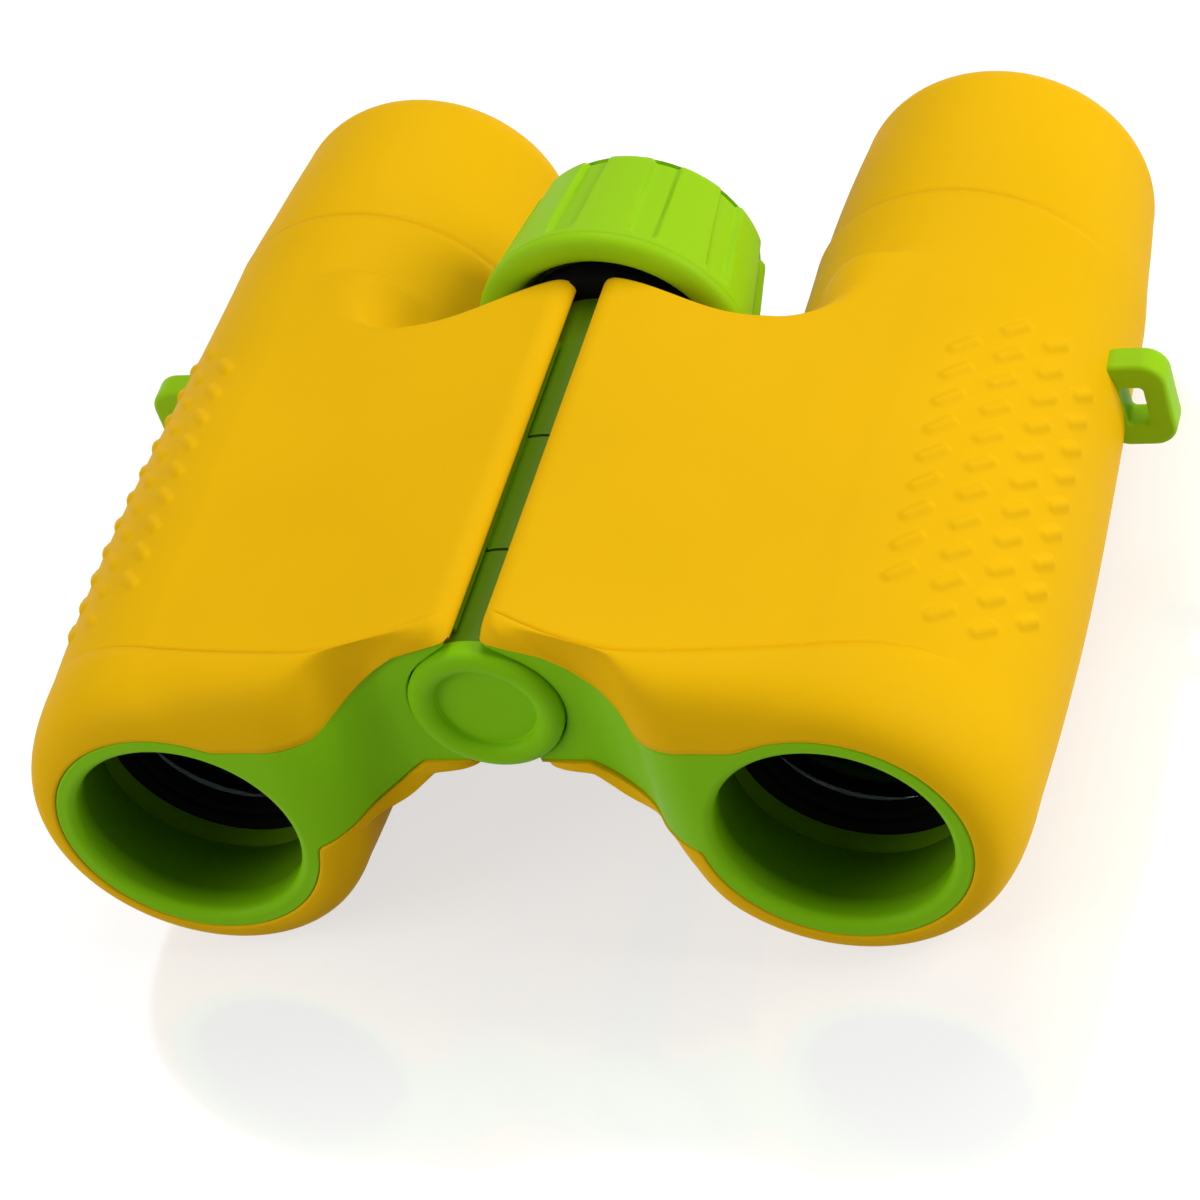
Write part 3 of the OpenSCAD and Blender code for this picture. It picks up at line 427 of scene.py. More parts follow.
    def under_reach(self, a, grow):
        slope = np.array([sine(self.arch_slope), -cosine(self.arch_slope)])
        ledge = np.array([sine(self.ledge_slope), -cosine(self.ledge_slope)])
        flat = self.to_side(a, self.arch_start + grow * np.array([0, -1]), (0, -1))
        down = self.to_side(a, self.arch_start + grow * slope, slope)
        out = self.to_side(a, self.arch_ledge + grow * ledge, ledge)
        return smooth_min(smooth_max(flat, down, self.arch_round), out, self.arch_round)

    def cover_reach(self, a, y):
        d = self.axis - self.top_edge
        tilt = math.degrees(math.atan2(d[1], d[0])) + np.degrees(
            np.arcsin(self.barrel_r(y) / np.hypot(*d)))
        top = self.to_side(a, self.top_edge, (-sine(tilt), cosine(tilt)))
        side = self.to_side(a, self.top_edge, self.hinge_normal)
        end = self.to_side(a, self.axis, (cosine(tilt), sine(tilt)))
        edge = smooth_min(top, side, self.edge_round)
        return np.minimum(smooth_min(edge, self.under_reach(a, self.edge_w), self.low_round), end)

    def full_reach(self, a, y):
        return smooth_max(self.barrel_reach(a, y), self.cover_reach(a, y), self.join_round)

    def skin_reach(self, a, y):
        """The skin's reach, kept clear of the hinge's knuckles."""
        return np.minimum(self.full_reach(a, y), self.to_hinge(a, self.knuckle_gap))

    def face_reach(self, a, spread=0.0):
        lean = self.to_side(a, self.face_top, (-sine(self.face_lean), cosine(self.face_lean)))
        fall = self.to_side(a, self.face_bend, (-sine(self.face_fall), cosine(self.face_fall)))
        slope = smooth_min(lean, fall, self.face_bend_round)
        shelf = self.to_side(a, (0, self.face_shelf), (0, 1))
        side = self.to_side(a, self.face_top + spread * self.hinge_normal, self.hinge_normal)
        end = self.to_side(a, self.axis, (1, 0))
        plate = smooth_min(smooth_max(slope, shelf, self.face_fillet), side, self.edge_round)
        plate = smooth_min(np.minimum(plate, end), self.under_reach(a, 0), self.face_round)
        return smooth_max(self.to_circle(a, self.barrel_x, 0.0, self.rim_r), plate, self.rim_fillet)

    def face_y(self, x):
        """How far back the face lies at x: two equal arcs between the hinge's flat and the rim."""
        r = self.ramp_r
        near = self.face_set - r + np.sqrt(np.maximum(r * r - (x - self.ramp_in) ** 2, 0))
        away = r - np.sqrt(np.maximum(r * r - (self.ramp_out - x) ** 2, 0))
        ramp = np.where(x < (self.ramp_in + self.ramp_out) / 2, near, away)
        return np.where(x <= self.ramp_in, self.face_set, np.where(x >= self.ramp_out, 0.0, ramp))

    def shoulder_line(self, x):
        """The line dips forward over the bridge, and climbs to the slit and round the barrel."""
        inward = unit((self.dip_x - x) / (self.dip_x - self.gap_top / 2))
        outward = np.maximum(x - self.dip_x, 0) / (self.barrel_x - self.dip_x)
        return self.dip_y + self.dip_in * inward ** 1.6 + self.dip_out * outward ** 1.35

    def top_side(self, a):
        """1 over the top of the skin, fading to 0 down the barrel's outer side and at the slit."""
        side_end, side_span, slit_span = 15, 30, 3
        return np.where(a < 90, ease((a - side_end) / side_span), ease((self.top_corner - a) / slit_span))

    def cup_top(self, turn):
        """1 where the eyecup line is crisp, fading to 0 on both sides, by the angle round the barrel."""
        crest, side_end, side_span, inner_end, inner_span = 110, 20, 45, 215, 30
        return np.where(turn < crest, ease((turn - side_end) / side_span),
                        ease((inner_end - turn) / inner_span))

    def rear_line(self, x):
        span = self.rear_share * self.barrel_x
        return self.bridge_rear - self.notch * ease((x - self.gap_top / 2) / span)

    def barrel_angle(self, a):
        reach = self.to_circle(a, self.barrel_x, 0.0, self.belly_r)
        x = self.pole[0] + reach * cosine(a) - self.barrel_x
        z = self.pole[1] + reach * sine(a)
        return np.degrees(np.arctan2(z, x))

    def grip_line(self, a, k):
        row = np.clip((self.nub_angle - self.barrel_angle(a)) / self.nub_step,
                      -0.5, self.nub_rows - 0.5)
        return self.nub_start + (k - 0.5) * self.nub_pitch + row * self.nub_shear

    def x_at(self, a, reach):
        return self.pole[0] + reach * cosine(a)

    def at(self, a, reach, y):
        """Points, one row of them, on the rays at a."""
        y = np.broadcast_to(y, np.shape(a))
        return np.stack([self.x_at(a, reach), y, self.pole[1] + reach * sine(a)], axis=-1)

    def on_circle(self, g, r, y):
        x = np.full(np.shape(g), float(self.axis_x(np.asarray(float(y)))))
        return np.stack([x + r * cosine(g), np.full(np.shape(g), float(y)), r * sine(g)], axis=-1)

    def past_hinge(self, start, r, before, across):
        """Angles from start to just past a circle round the hinge, and the angle where they end."""
        hinge = self.pole - np.array([0.0, self.hinge_rise])
        swing = math.degrees(math.asin(r / np.hypot(*hinge)))
        to_hinge = self.angle_to((0.0, self.hinge_rise)) % 360
        upper, lower = to_hinge - swing, to_hinge + swing
        angles = fan(start, upper - self.graze, before)
        angles += fan(upper - self.graze, upper + self.graze, 1)
        angles += fan(upper + self.graze, lower - self.graze, across)
        angles += fan(lower - self.graze, lower + self.graze, 1)
        return angles, lower + self.graze

    def rays(self):
        """Angles of the rays: close together over the grip and at the bridge's edges."""
        barrel_low, barrel_top, corner_span, low_span = -155.0, 95.0, 4, 5
        corner = self.top_corner - corner_span
        hinge, lower = self.past_hinge(corner, self.knuckle_gap, 16, 30)
        low = self.low_corner + low_span
        return np.array(
            self.axis_fan(barrel_low, self.grip_low, self.belly_r, 60)
            + self.axis_fan(self.grip_low, self.grip_top, self.belly_r, 17 * self.nub_rows)
            + self.axis_fan(self.grip_top, barrel_top, self.belly_r, 10)
            + fan(self.axis_ray(barrel_top, self.belly_r), corner, 70)
            + hinge
            + fan(lower, low, 18)
            + fan(low, 360 + self.axis_ray(barrel_low, self.belly_r), 40))

    def nose_rows(self, a, n):
        knuckle = self.to_hinge(a, self.knuckle_gap)
        r0 = self.face_reach(a) - self.tuck
        line = self.shoulder_line(self.x_at(a, self.full_reach(a, self.shoulder_y)))
        edge = np.minimum(self.face_reach(a, 2 * self.face_inset),
                          self.full_reach(a, line) - self.face_inset / 2)
        r1 = np.maximum(self.full_reach(a, line) + self.step_h * self.top_side(a), edge)
        start = unit((edge - r0) / np.maximum(r1 - r0, 1e-6)) ** (self.nose_power / 2)
        t0 = np.degrees(np.arcsin(start))
        rows = []
        for i in range(n + 1):
            t = mix(t0, 90.0, i / n)
            reach = mix(r0, r1, np.abs(sine(t)) ** (2 / self.nose_power))
            flush = self.face_y(self.x_at(a, reach)) * self.bridge_front / self.face_set
            back = line - self.half_step
            y = back - np.maximum(back - flush, self.clear) * np.abs(cosine(t)) ** (2 / self.nose_power)
            rows.append(self.at(a, np.minimum(reach, knuckle), y))
        y = rows[0][:, 1]
        lip = [self.at(a, np.minimum(edge, knuckle), np.full(np.shape(a), self.bezel_len)),
               self.at(a, np.minimum(edge, knuckle), y + self.lip_turn)]
        rows[0] = self.at(a, np.minimum(edge + self.lip_out, knuckle), y)
        step = []
        after = self.full_reach(a, line + self.half_step)
        for t in (0.25, 0.5, 0.75):
            y = line + mix(-self.half_step, self.half_step, t)
            crease = self.crease * self.top_side(a) * sine(180 * t)
            step.append(self.at(a, np.minimum(mix(r1, after, ease(t)) - crease, knuckle), y))
        return lip + rows + step, line + self.half_step

    def body_rows(self, a, line, wall, front, along):
        edge = self.rear_line(self.x_at(a, self.skin_reach(a, self.bridge_rear))) - self.edge_drop
        first = self.grip_line(a, 0)
        last = mix(self.grip_line(a, self.nub_count), edge, wall)
        levels = [mix(line, first, i / front) for i in range(front)]
        levels += [mix(first, last, i / along) for i in range(along + 1)]
        return [self.at(a, self.skin_reach(a, y), y) for y in levels]

    def wall_rows(self, a, wall, n):
        """Behind the cover the skin turns down its rear wall and sweeps out along the barrel."""
        full = self.skin_reach(a, self.bridge_rear)
        low = self.barrel_reach(a, self.bridge_rear)
        toe = mix(low, full, self.scoop_share)
        rows = []
        for i in range(1, n + 1):
            t = i / n
            down = unit(t / self.wall_share)
            out = unit((t - self.wall_share) / (1 - self.wall_share))
            if out > 0:
                reach = mix(toe, low, 1 - (1 - out) ** 2)
            else:
                reach = mix(full, toe, down ** 1.3)
            edge = self.rear_line(self.x_at(a, reach)) - self.edge_drop * (1 - unit(down * 3)) ** 2
            y_wall = mix(edge, self.rear_wall_end, out ** 1.4)
            y = mix(mix(self.grip_line(a, self.nub_count), self.rear_wall_end, t), y_wall, wall)
            on_wall = reach + self.barrel_reach(a, y) - low
            rows.append(self.at(a, mix(self.skin_reach(a, y), on_wall, wall), y))
        return rows

    def cup_rows(self, a):
        """Behind the bridge the rows are circles round the barrel's axis, out to the eyecup's opening."""
        g = self.barrel_angle(a)
        step_front, step_back = self.cup_y - self.half_step, self.cup_y + self.half_step
        crisp = self.cup_top(g % 360)
        rows = [self.on_circle(g, float(self.barrel_r(np.asarray(y))), y)
                for y in np.linspace(self.rear_wall_end, step_front, 12)[1:]]
        before = float(self.barrel_r(np.asarray(step_front)))
        after = float(self.barrel_r(np.asarray(step_back))) + self.step_h * (1 - crisp)
        for t in (0.25, 0.5, 0.75):
            r = mix(before, after, float(ease(t))) - self.crease * crisp * sine(180 * t)
            rows.append(self.on_circle(g, r, mix(step_front, step_back, t)))
        for y in np.linspace(step_back, self.cup_end, 18):
            soft = self.step_h * (1 - crisp) * (1 - ease((y - self.cup_y) / self.cup_fade))
            rows.append(self.on_circle(g, float(self.barrel_r(np.asarray(y))) + soft, y))
        for t in np.linspace(0, 90, 19)[1:]:
            r = self.cup_r - self.cup_round * (1 - cosine(t))
            rows.append(self.on_circle(g, r, self.cup_end + self.cup_round * sine(t)))
        for t in np.linspace(0, 90, 6):
            r = self.cup_open_r + self.cup_lip * (1 - sine(t))
            rows.append(self.on_circle(g, r, self.length - self.cup_lip * (1 - cosine(t))))
        rows.append(self.on_circle(g, self.cup_open_r, self.eyepiece_rear + self.clear))
        return rows

    def inner_rows(self, a):
        """The skin's hidden inside, from the eyepiece back to the face."""
        g = self.barrel_angle(a)
        inside = (
            (self.tube_seat_r, self.eyepiece_rear + self.clear), (self.tube_seat_r, self.seat_step),
            (self.chassis_seat_r, self.seat_step), (self.chassis_seat_r, self.seat_front))
        return [self.on_circle(g, r, y) for r, y in inside]

    def nubs(self):
        """Angle and place along the barrel of every nub: the first and last rows are shorter."""
        found = []
        for row in range(self.nub_rows):
            inset = 1 if row in (0, self.nub_rows - 1) else 0
            for k in range(inset, self.nub_count - inset):
                y = self.nub_start + k * self.nub_pitch + row * self.nub_shear
                found.append((self.nub_angle - row * self.nub_step, y))
        return found

    def raise_nubs(self, points):
        """Lifts the points that lie under a nub straight out from the barrel."""
        x, y, z = points[..., 0] - self.barrel_x, points[..., 1], points[..., 2]
        r = np.hypot(x, z)
        g = np.degrees(np.arctan2(z, x))
        lift = np.zeros_like(r)
        soft = 0.5 * self.nub_w
        for g0, y0 in self.nubs():
            across = np.radians(g - g0) * r
            along = y - y0
            u = across * cosine(self.nub_slant) - along * sine(self.nub_slant)
            v = across * sine(self.nub_slant) + along * cosine(self.nub_slant)
            past = np.maximum(np.abs(u) - (self.nub_len - self.nub_w) / 2, 0)
            depth = unit((self.nub_w * 0.62 - np.hypot(past, v)) / soft)
            lift = np.maximum(lift, np.sin(depth * np.pi / 2) ** 1.5)
        lift = np.where(r > self.waist_r - 1, lift * self.nub_h, 0.0)
        points[..., 0] += lift * cosine(g)
        points[..., 2] += lift * sine(g)
        return points

    def grid(self):
        """Rows of points of the right half's closed skin."""
        a = self.rays()
        over = self.skin_reach(a, self.bridge_rear) - self.barrel_reach(a, self.bridge_rear)
        wall = ease((over - self.wall_from) / self.wall_fade)
        nose, line = self.nose_rows(a, 22)
        body = self.body_rows(a, line, wall, 8, 15 * self.nub_count)
        outside = nose + body + self.wall_rows(a, wall, 40)
        points = self.raise_nubs(np.array(outside + self.cup_rows(a)))
        return np.concatenate([points, np.array(self.inner_rows(a))])


def packed(points, skin):
    """Moves points in the formulas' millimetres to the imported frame's metres."""
    shift = np.array([0.0, -skin.length / 2, skin.belly_r])
    return (np.asarray(points, dtype=float) + shift) * MM


def face_outward(mesh):
    """Turns a closed mesh inside out where its volume comes out negative."""
    work = bmesh.new()
    work.from_mesh(mesh)
    if work.calc_volume(signed=True) < 0:
        bmesh.ops.reverse_faces(work, faces=work.faces)
    work.to_mesh(mesh)
    work.free()


def grid_mesh(name, points, skin, mirror=False, sharp=None):
    """A closed mesh over rows of points that run round a ring, the last row joined to the first.

    Edges that turn by more than sharp, in degrees, stay sharp.
    """
    rows, cols = points.shape[:2]
    flat = packed(points.reshape(-1, 3), skin)
    if mirror:
        flat[:, 0] *= -1
    i = np.arange(rows)[:, None]
    j = np.arange(cols)[None, :]
    down, along = (i + 1) % rows, (j + 1) % cols
    quads = np.stack([i * cols + j, i * cols + along, down * cols + along, down * cols + j], axis=-1)
    quads = quads.reshape(-1, 4)
    if mirror:
        quads = quads[:, ::-1]
    mesh = bpy.data.meshes.new(name)
    mesh.from_pydata(flat.tolist(), [], quads.tolist())
    mesh.validate()
    mesh.shade_smooth()
    face_outward(mesh)
    if sharp is not None:
        mesh.set_sharp_from_angle(angle=math.radians(sharp))
    return mesh


def add_piece(name, mesh, body, node, slot):
    """Links a piece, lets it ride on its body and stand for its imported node."""
    piece = bpy.data.objects.new(name, mesh)
    bpy.context.scene.collection.objects.link(piece)
    mesh.materials.clear()
    mesh.materials.append(finish(slot))
    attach(piece, body)
    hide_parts(node)


def add_pair(kind, points, skin, node, slot, sharp=None, normals=None):
    """Adds a piece to the right half, and its mirror image to the left."""
    for side, sign in SIDES.items():
        name = side + "_" + kind
        mesh = grid_mesh(name, points, skin, sign < 0, sharp)
        if normals is not None:
            turned_over = normals * (sign, 1, 1)
            mesh.normals_split_custom_set_from_vertices(turned_over.reshape(-1, 3).tolist())
        add_piece(name, mesh, side + "_half", side + "_" + node, slot)


def node_link(tree, source, output, target, entry):
    tree.links.new(source.outputs[output], target.inputs[entry])


def add_node(tree, kind, values=None):
    """Adds a shader node and sets its sockets."""
    node = tree.nodes.new("ShaderNode" + kind)
    set_sockets(node, values or {})
    return node


def set_sockets(node, values):
    for name, value in values.items():
        node.inputs[name].default_value = value


def new_material(name):
    """A material with nodes, and its tree."""
    material = bpy.data.materials.new(name)
    material.use_nodes = True
    return material, material.node_tree


def moulded(name, colour, rough, grain, grain_size, drift, specular, metallic):
    """A moulded finish: a faint drift in colour and gloss, and a fine grain in the surface."""
    material, tree = new_material(name)
    shader = tree.nodes["Principled BSDF"]
    set_sockets(shader, {"Roughness": rough, "Metallic": metallic, "Specular IOR Level": specular})
    place = add_node(tree, "TexCoord")
    cloud = add_node(tree, "TexNoise", {"Scale": 28.0, "Detail": 3.0})
    ramp = add_node(tree, "ValToRGB")
    low, high = ramp.color_ramp.elements
    low.position, high.position = 0.3, 0.7
    low.color = (*[c * (1 - drift) for c in colour], 1.0)
    high.color = (*[min(c * (1 + drift), 1.0) for c in colour], 1.0)
    node_link(tree, place, "Object", cloud, "Vector")
    node_link(tree, cloud, "Fac", ramp, "Fac")
    node_link(tree, ramp, "Color", shader, "Base Color")
    uneven = 0.05
    fine = add_node(tree, "TexNoise", {"Scale": grain_size, "Detail": 4.0})
    gloss = add_node(tree, "MapRange", {
        "To Min": max(rough - uneven, 0.02), "To Max": min(rough + uneven, 1.0)})
    bump = add_node(tree, "Bump", {"Strength": grain, "Distance": 0.0001})
    node_link(tree, place, "Object", fine, "Vector")
    node_link(tree, fine, "Fac", gloss, "Value")
    node_link(tree, gloss, "Result", shader, "Roughness")
    node_link(tree, fine, "Fac", bump, "Height")
    node_link(tree, bump, "Normal", shader, "Normal")
    return material


def lens_glass(name, colour):
    """Coated glass, tinted dark as painted shade for the inside of the barrels, with the faintest unevenness
    in its gloss.
    """
    material, tree = new_material(name)
    shader = tree.nodes["Principled BSDF"]
    # The dark tint in the base colour is painted shade: it dims the light that is seen through the barrels.
    set_sockets(shader, {"Base Color": (*colour, 1.0), "Transmission Weight": 1.0, "IOR": 1.52,
                         "Specular IOR Level": 0.1})
    place = add_node(tree, "TexCoord")
    fine = add_node(tree, "TexNoise", {"Scale": 60.0})
    gloss = add_node(tree, "MapRange", {"To Min": 0.0, "To Max": 0.03})
    node_link(tree, place, "Object", fine, "Vector")
    node_link(tree, fine, "Fac", gloss, "Value")
    node_link(tree, gloss, "Result", shader, "Roughness")
    return material


def finish(slot):
    """The material of a slot, made the first time it is asked for."""
    name = "binoc_" + slot
    if name in bpy.data.materials:
        return bpy.data.materials[name]
    look = bpy.context.scene.binoc_finish
    if slot == "glass":
        return lens_glass(name, look.glass)
    # Colour, roughness, depth and fineness of the grain, drift in colour, specular level and metal
    recipes = {
        "yellow_rubber": (look.yellow, look.rubber_rough, 0.10, 1400.0, 0.035, 0.03, 0.0),
        "green_face": (look.green_face, look.green_rough, 0.05, 1100.0, 0.03, 0.06, 0.0),
        "green_wheel": (look.green_wheel, look.green_rough, 0.05, 1100.0, 0.03, 0.06, 0.0),
        # The green_frame colour carries painted shade: a darker copy of the plastic green for the shaded
        # slit and the back of the bores.
        "green_frame": (look.green_frame, look.green_rough, 0.08, 900.0, 0.05, 0.1, 0.0),
        "black_plastic": (look.black, 0.6, 0.12, 900.0, 0.15, 0.05, 0.0),
        "grey_plastic": (look.grey, 0.5, 0.12, 900.0, 0.10, 0.5, 0.0),
        "steel": (look.steel, 0.28, 0.04, 700.0, 0.04, 0.5, 1.0),
        "brass": (look.brass, 0.30, 0.04, 700.0, 0.05, 0.5, 1.0),
    }
    return moulded(name, *recipes[slot])


class BINOC_OT_armour(bpy.types.Operator):
    """Build the two rubber skins with their cover wings, eyecups and grip nubs"""

    bl_idname = "binoc.armour"
    bl_label = "Rubber skins"

    def execute(self, context):
        skin = Skin(context.scene)
        add_pair("rubber_skin", skin.grid(), skin, "armour", "yellow_rubber")
        return {"FINISHED"}


class BINOC_OT_faces(bpy.types.Operator):
    """Build the two green faces, ramped from the hinge to the objective rims"""

    bl_idname = "binoc.faces"
    bl_label = "Objective faces"

    edge = 0.35
    cap_gap = 0.12
    skin_gap = 0.02
    strip = 0.3
    ramp_rows = 40
    # Rows of the open face, between its rounded edge and the rim's turn into the bore
    open_rows = slice(6, -8)

    def rays(self, skin):
        rim_low, rim_top, slope_start, low_span = -150, 90, 116, 5
        hinge, lower = skin.past_hinge(slope_start, skin.cap_r + self.cap_gap, 110, 60)
        low = skin.low_corner + low_span
        return np.array(
            skin.axis_fan(rim_low, rim_top, skin.rim_r, 110)
            + fan(skin.axis_ray(rim_top, skin.rim_r), slope_start, 50)
            + hinge
            + fan(lower, low, 24)
            + fan(low, 360 + skin.axis_ray(rim_low, skin.rim_r), 50))

    def front(self, skin, x, z):
        """Depth of the face, rounded over into the bore."""
        rim_round = (skin.rim_r - skin.bore_r) / 2
        near = np.maximum(rim_round - (np.hypot(x - skin.barrel_x, z) - skin.bore_r), 0)
        return skin.face_y(x) + rim_round - np.sqrt(np.maximum(rim_round ** 2 - near ** 2, 0))

    def front_normals(self, skin, x, z):
        """Directions the face looks in, taken from its depth a little way to each side."""
        h = 0.05
        across = (self.front(skin, x + h, z) - self.front(skin, x - h, z)) / (2 * h)
        upward = (self.front(skin, x, z + h) - self.front(skin, x, z - h)) / (2 * h)
        normals = np.stack([across, -np.ones_like(across), upward], axis=-1)
        return normals / np.linalg.norm(normals, axis=-1, keepdims=True)

    def execute(self, context):
        skin = Skin(context.scene)
        a = self.rays(skin)
        outer = np.minimum(skin.face_reach(a) - self.skin_gap, skin.to_hinge(a, skin.cap_r + self.cap_gap))
        inner = skin.to_circle(a, skin.barrel_x, 0.0, skin.bore_r)
        rows = [skin.at(a, outer, np.full(a.shape, skin.bezel_len))]
        for t in np.linspace(0, 90, 6):
            reach = outer - self.edge * (1 - cosine(t))
            x, z = skin.x_at(a, reach), skin.pole[1] + reach * sine(a)
            rows.append(skin.at(a, reach, self.front(skin, x, z) + self.edge * (1 - sine(t))))
        flat = np.minimum(outer - self.edge - self.strip, skin.to_side(a, (skin.ramp_in, 0.0), (-1, 0)))
        reaches = [mix(outer - self.edge, flat, t) for t in np.linspace(0, 1, 7)[1:]]
        reaches += [mix(flat, inner, float(sine(90 * t))) for t in np.linspace(0, 1, self.ramp_rows)[1:]]
        for reach in reaches:
            x, z = skin.x_at(a, reach), skin.pole[1] + reach * sine(a)
            rows.append(skin.at(a, reach, self.front(skin, x, z)))
        g = np.degrees(np.arctan2(rows[-1][:, 2], rows[-1][:, 0] - skin.barrel_x))
        step = skin.lip_len + (skin.rim_r - skin.bore_r) / 2
        bore = skin.bezel_bore_r
        for r, y in ((skin.bore_r, step), (bore, step + self.strip), (bore, skin.bezel_len)):
            rows.append(skin.on_circle(g, r, y))
        points = np.array(rows)
        normals = np.zeros_like(points)
        shown = points[self.open_rows]
        normals[self.open_rows] = self.front_normals(skin, shown[..., 0], shown[..., 2])
        add_pair("green_face", points, skin, "bezel", "green_face", sharp=50, normals=normals)
        return {"FINISHED"}


def turned(profile, skin, columns):
    """Rows of points of a profile of (radius, y) turned round the hinge."""
    t = np.linspace(0, 2 * np.pi, columns, endpoint=False)
    rows = []
    for r, y in profile:
        rows.append(np.stack([r * np.cos(t), np.full(columns, y), skin.hinge_rise + r * np.sin(t)], axis=-1))
    return np.array(rows)


def arc(cr, cy, r, a0, a1, n):
    """Points of an arc in a (radius, y) profile."""
    return [(cr + r * cosine(mix(a0, a1, i / n)), cy + r * sine(mix(a0, a1, i / n))) for i in range(n + 1)]


class BINOC_OT_wheel(bpy.types.Operator):
    """Build the grooved focus wheel"""

    bl_idname = "binoc.wheel"
    bl_label = "Focus wheel"

    edge = 1.1
    crease = 0.14
    crease_foot = 0.12
    spindle_r = 2.52
    boss_r = 5.2
    cap_seat = 1.2
    groove_set = 0.75
    groove_inset = 1.5
    groove_corner = 0.9
    groove_wall = 0.45

    def execute(self, context):
        skin = Skin(context.scene)
        w = in_millimetres(context.scene.binoc_wheel)
        front_r, back_r, front, back = w["front_r"], w["back_r"], w["front"], w["back"]
        ring_len, half = w["ring_len"], w["ring_w"] / 2
        band_front = front + ring_len + self.crease
        hollow_r = back_r - self.edge - 1
        boss_front, hollow_back, hollow_front = front + 3.6, front + 6.4, front + 2.2
        profile = [
            (self.spindle_r, boss_front), (self.boss_r, boss_front), (self.boss_r, hollow_back),
            (hollow_r, hollow_back), (hollow_r, hollow_front)]
        for t in np.linspace(-90, 90, 33):
            profile.append((front_r - half + half * sine(t), front + ring_len * (1 - cosine(t) ** 0.8)))
        profile += [(front_r - self.crease, band_front - self.crease / 2),
                    (front_r - self.crease_foot, band_front)]
        profile += [(mix(front_r, back_r, t), mix(band_front, back - self.edge, t))
                    for t in np.linspace(0.01, 1, 71)]
        profile += arc(back_r - self.edge, back - self.edge, self.edge, 0, 90, 8)[1:]
        seat = back - self.cap_seat
        profile += [(self.boss_r, back), (self.boss_r, seat), (self.spindle_r, seat)]
        points = turned(profile, skin, 40 * w["grooves"])
        self.cut_grooves(points, skin, w, band_front + self.groove_set, hollow_r + self.groove_inset)
        mesh = grid_mesh("grooved_wheel", points, skin, sharp=50)
        add_piece("grooved_wheel", mesh, "focus_drive", "focus_wheel", "green_wheel")
        return {"FINISHED"}

    def cut_grooves(self, points, skin, w, start, inner_r):
        """Draws the points in the grooves in towards the hinge, behind start and outside inner_r."""
        x, z = points[..., 0], points[..., 2] - skin.hinge_rise
        r, t = np.hypot(x, z), np.degrees(np.arctan2(z, x)) - w["groove_turn"]
        pitch = 360 / w["grooves"]
        off = np.radians((t + pitch / 2) % pitch - pitch / 2) * r
        inside = w["groove_w"] / 2 - np.abs(off)
        along = points[..., 1] - start
        corner = self.groove_corner
        reach = np.where((inside < corner) & (along < corner),
                         corner - np.hypot(corner - inside, corner - along), np.minimum(inside, along))
        cut = w["groove_depth"] * ease(reach / self.groove_wall)
        cut = np.where((r > inner_r) & (along > 0), cut, 0.0)
        scale = (r - cut) / r
        points[..., 0] = x * scale
        points[..., 2] = skin.hinge_rise + z * scale


class BINOC_OT_cap(bpy.types.Operator):
    """Build the round hinge cap with its dish"""

    bl_idname = "binoc.cap"
    bl_label = "Hinge cap"

    def execute(self, context):
        skin = Skin(context.scene)
        crest = (skin.cap_r - skin.cap_dish_r) / 2
        middle = skin.cap_dish_r + crest
        dish_y, roll_y, front, back = 6.5, 6.3, 5.4, 7.6
        centre, dish_edge = 0.01, 0.15
        profile = [(centre, back), (centre, dish_y), (skin.cap_dish_r - dish_edge, dish_y)]
        for t in np.linspace(0, 180, 25):
            profile.append((middle - crest * cosine(t), roll_y - (roll_y - front) * sine(t)))
        profile.append((skin.cap_r, back))
        mesh = grid_mesh("round_cap", turned(profile, skin, 128), skin, sharp=40)
        add_piece("round_cap", mesh, "right_half", "hinge_cap", "green_face")
        return {"FINISHED"}


def rounded_box(half_w, half_h, corner, n):
    """n points round a rectangle with rounded corners, evenly spread in angle from its middle."""
    points = []
    for i in range(n):
        t = 2 * math.pi * i / n
        u, v = math.cos(t), math.sin(t)
        reach = min(half_w / max(abs(u), 1e-9), half_h / max(abs(v), 1e-9))
        cu, cv = half_w - corner, half_h - corner
        if abs(u) * reach > cu and abs(v) * reach > cv:
            m = cu * abs(u) + cv * abs(v)
            reach = m + math.sqrt(max(m * m - cu * cu - cv * cv + corner * corner, 0.0))
        points.append((u * reach, v * reach))
    return np.array(points)


class BINOC_OT_lugs(bpy.types.Operator):
    """Build the two strap lugs with their slots"""

    bl_idname = "binoc.lugs"
    bl_label = "Strap lugs"

    columns = 160
    root = 14.42
    slot_corner = 0.5
    lip = 0.25

    def execute(self, context):
        skin = Skin(context.scene)
        lug = in_millimetres(context.scene.binoc_lug)
        root, edge, lip = self.root, lug["edge"], self.lip
        middle_x = (root + lug["reach"]) / 2
        slot_x = lug["reach"] - lug["corner"] - lug["slot_w"] / 2 - middle_x
        outer = rounded_box((lug["reach"] - root) / 2, lug["height"] / 2, lug["corner"], self.columns)
        slot = rounded_box(lug["slot_w"] / 2, lug["slot_h"] / 2, self.slot_corner, self.columns)
        slot = slot + np.array([slot_x, 0.0])
        front, back = lug["front"], lug["front"] + lug["thick"]
        way = outer - slot
        way = way / np.hypot(way[:, 0], way[:, 1])[:, None]
        rim = [(slot + way * lip * (1 - cosine(t)), lip * (1 - sine(t))) for t in np.linspace(0, 90, 5)]
        side = [(outer - way * edge * (1 - cosine(t)), edge * (1 - sine(t))) for t in np.linspace(90, 0, 8)]
        rows = [(plan, front + depth) for plan, depth in rim + side]
        rows += [(plan, back - depth) for plan, depth in reversed(rim + side)]
        points = []
        for plan, y in rows:
            x = skin.barrel_x + middle_x + plan[:, 0]
            points.append(np.stack([x, np.full(self.columns, y), plan[:, 1] - lug["drop"]], axis=-1))
        add_pair("lug", np.array(points), skin, "strap_lug", "green_wheel", sharp=50)
        return {"FINISHED"}


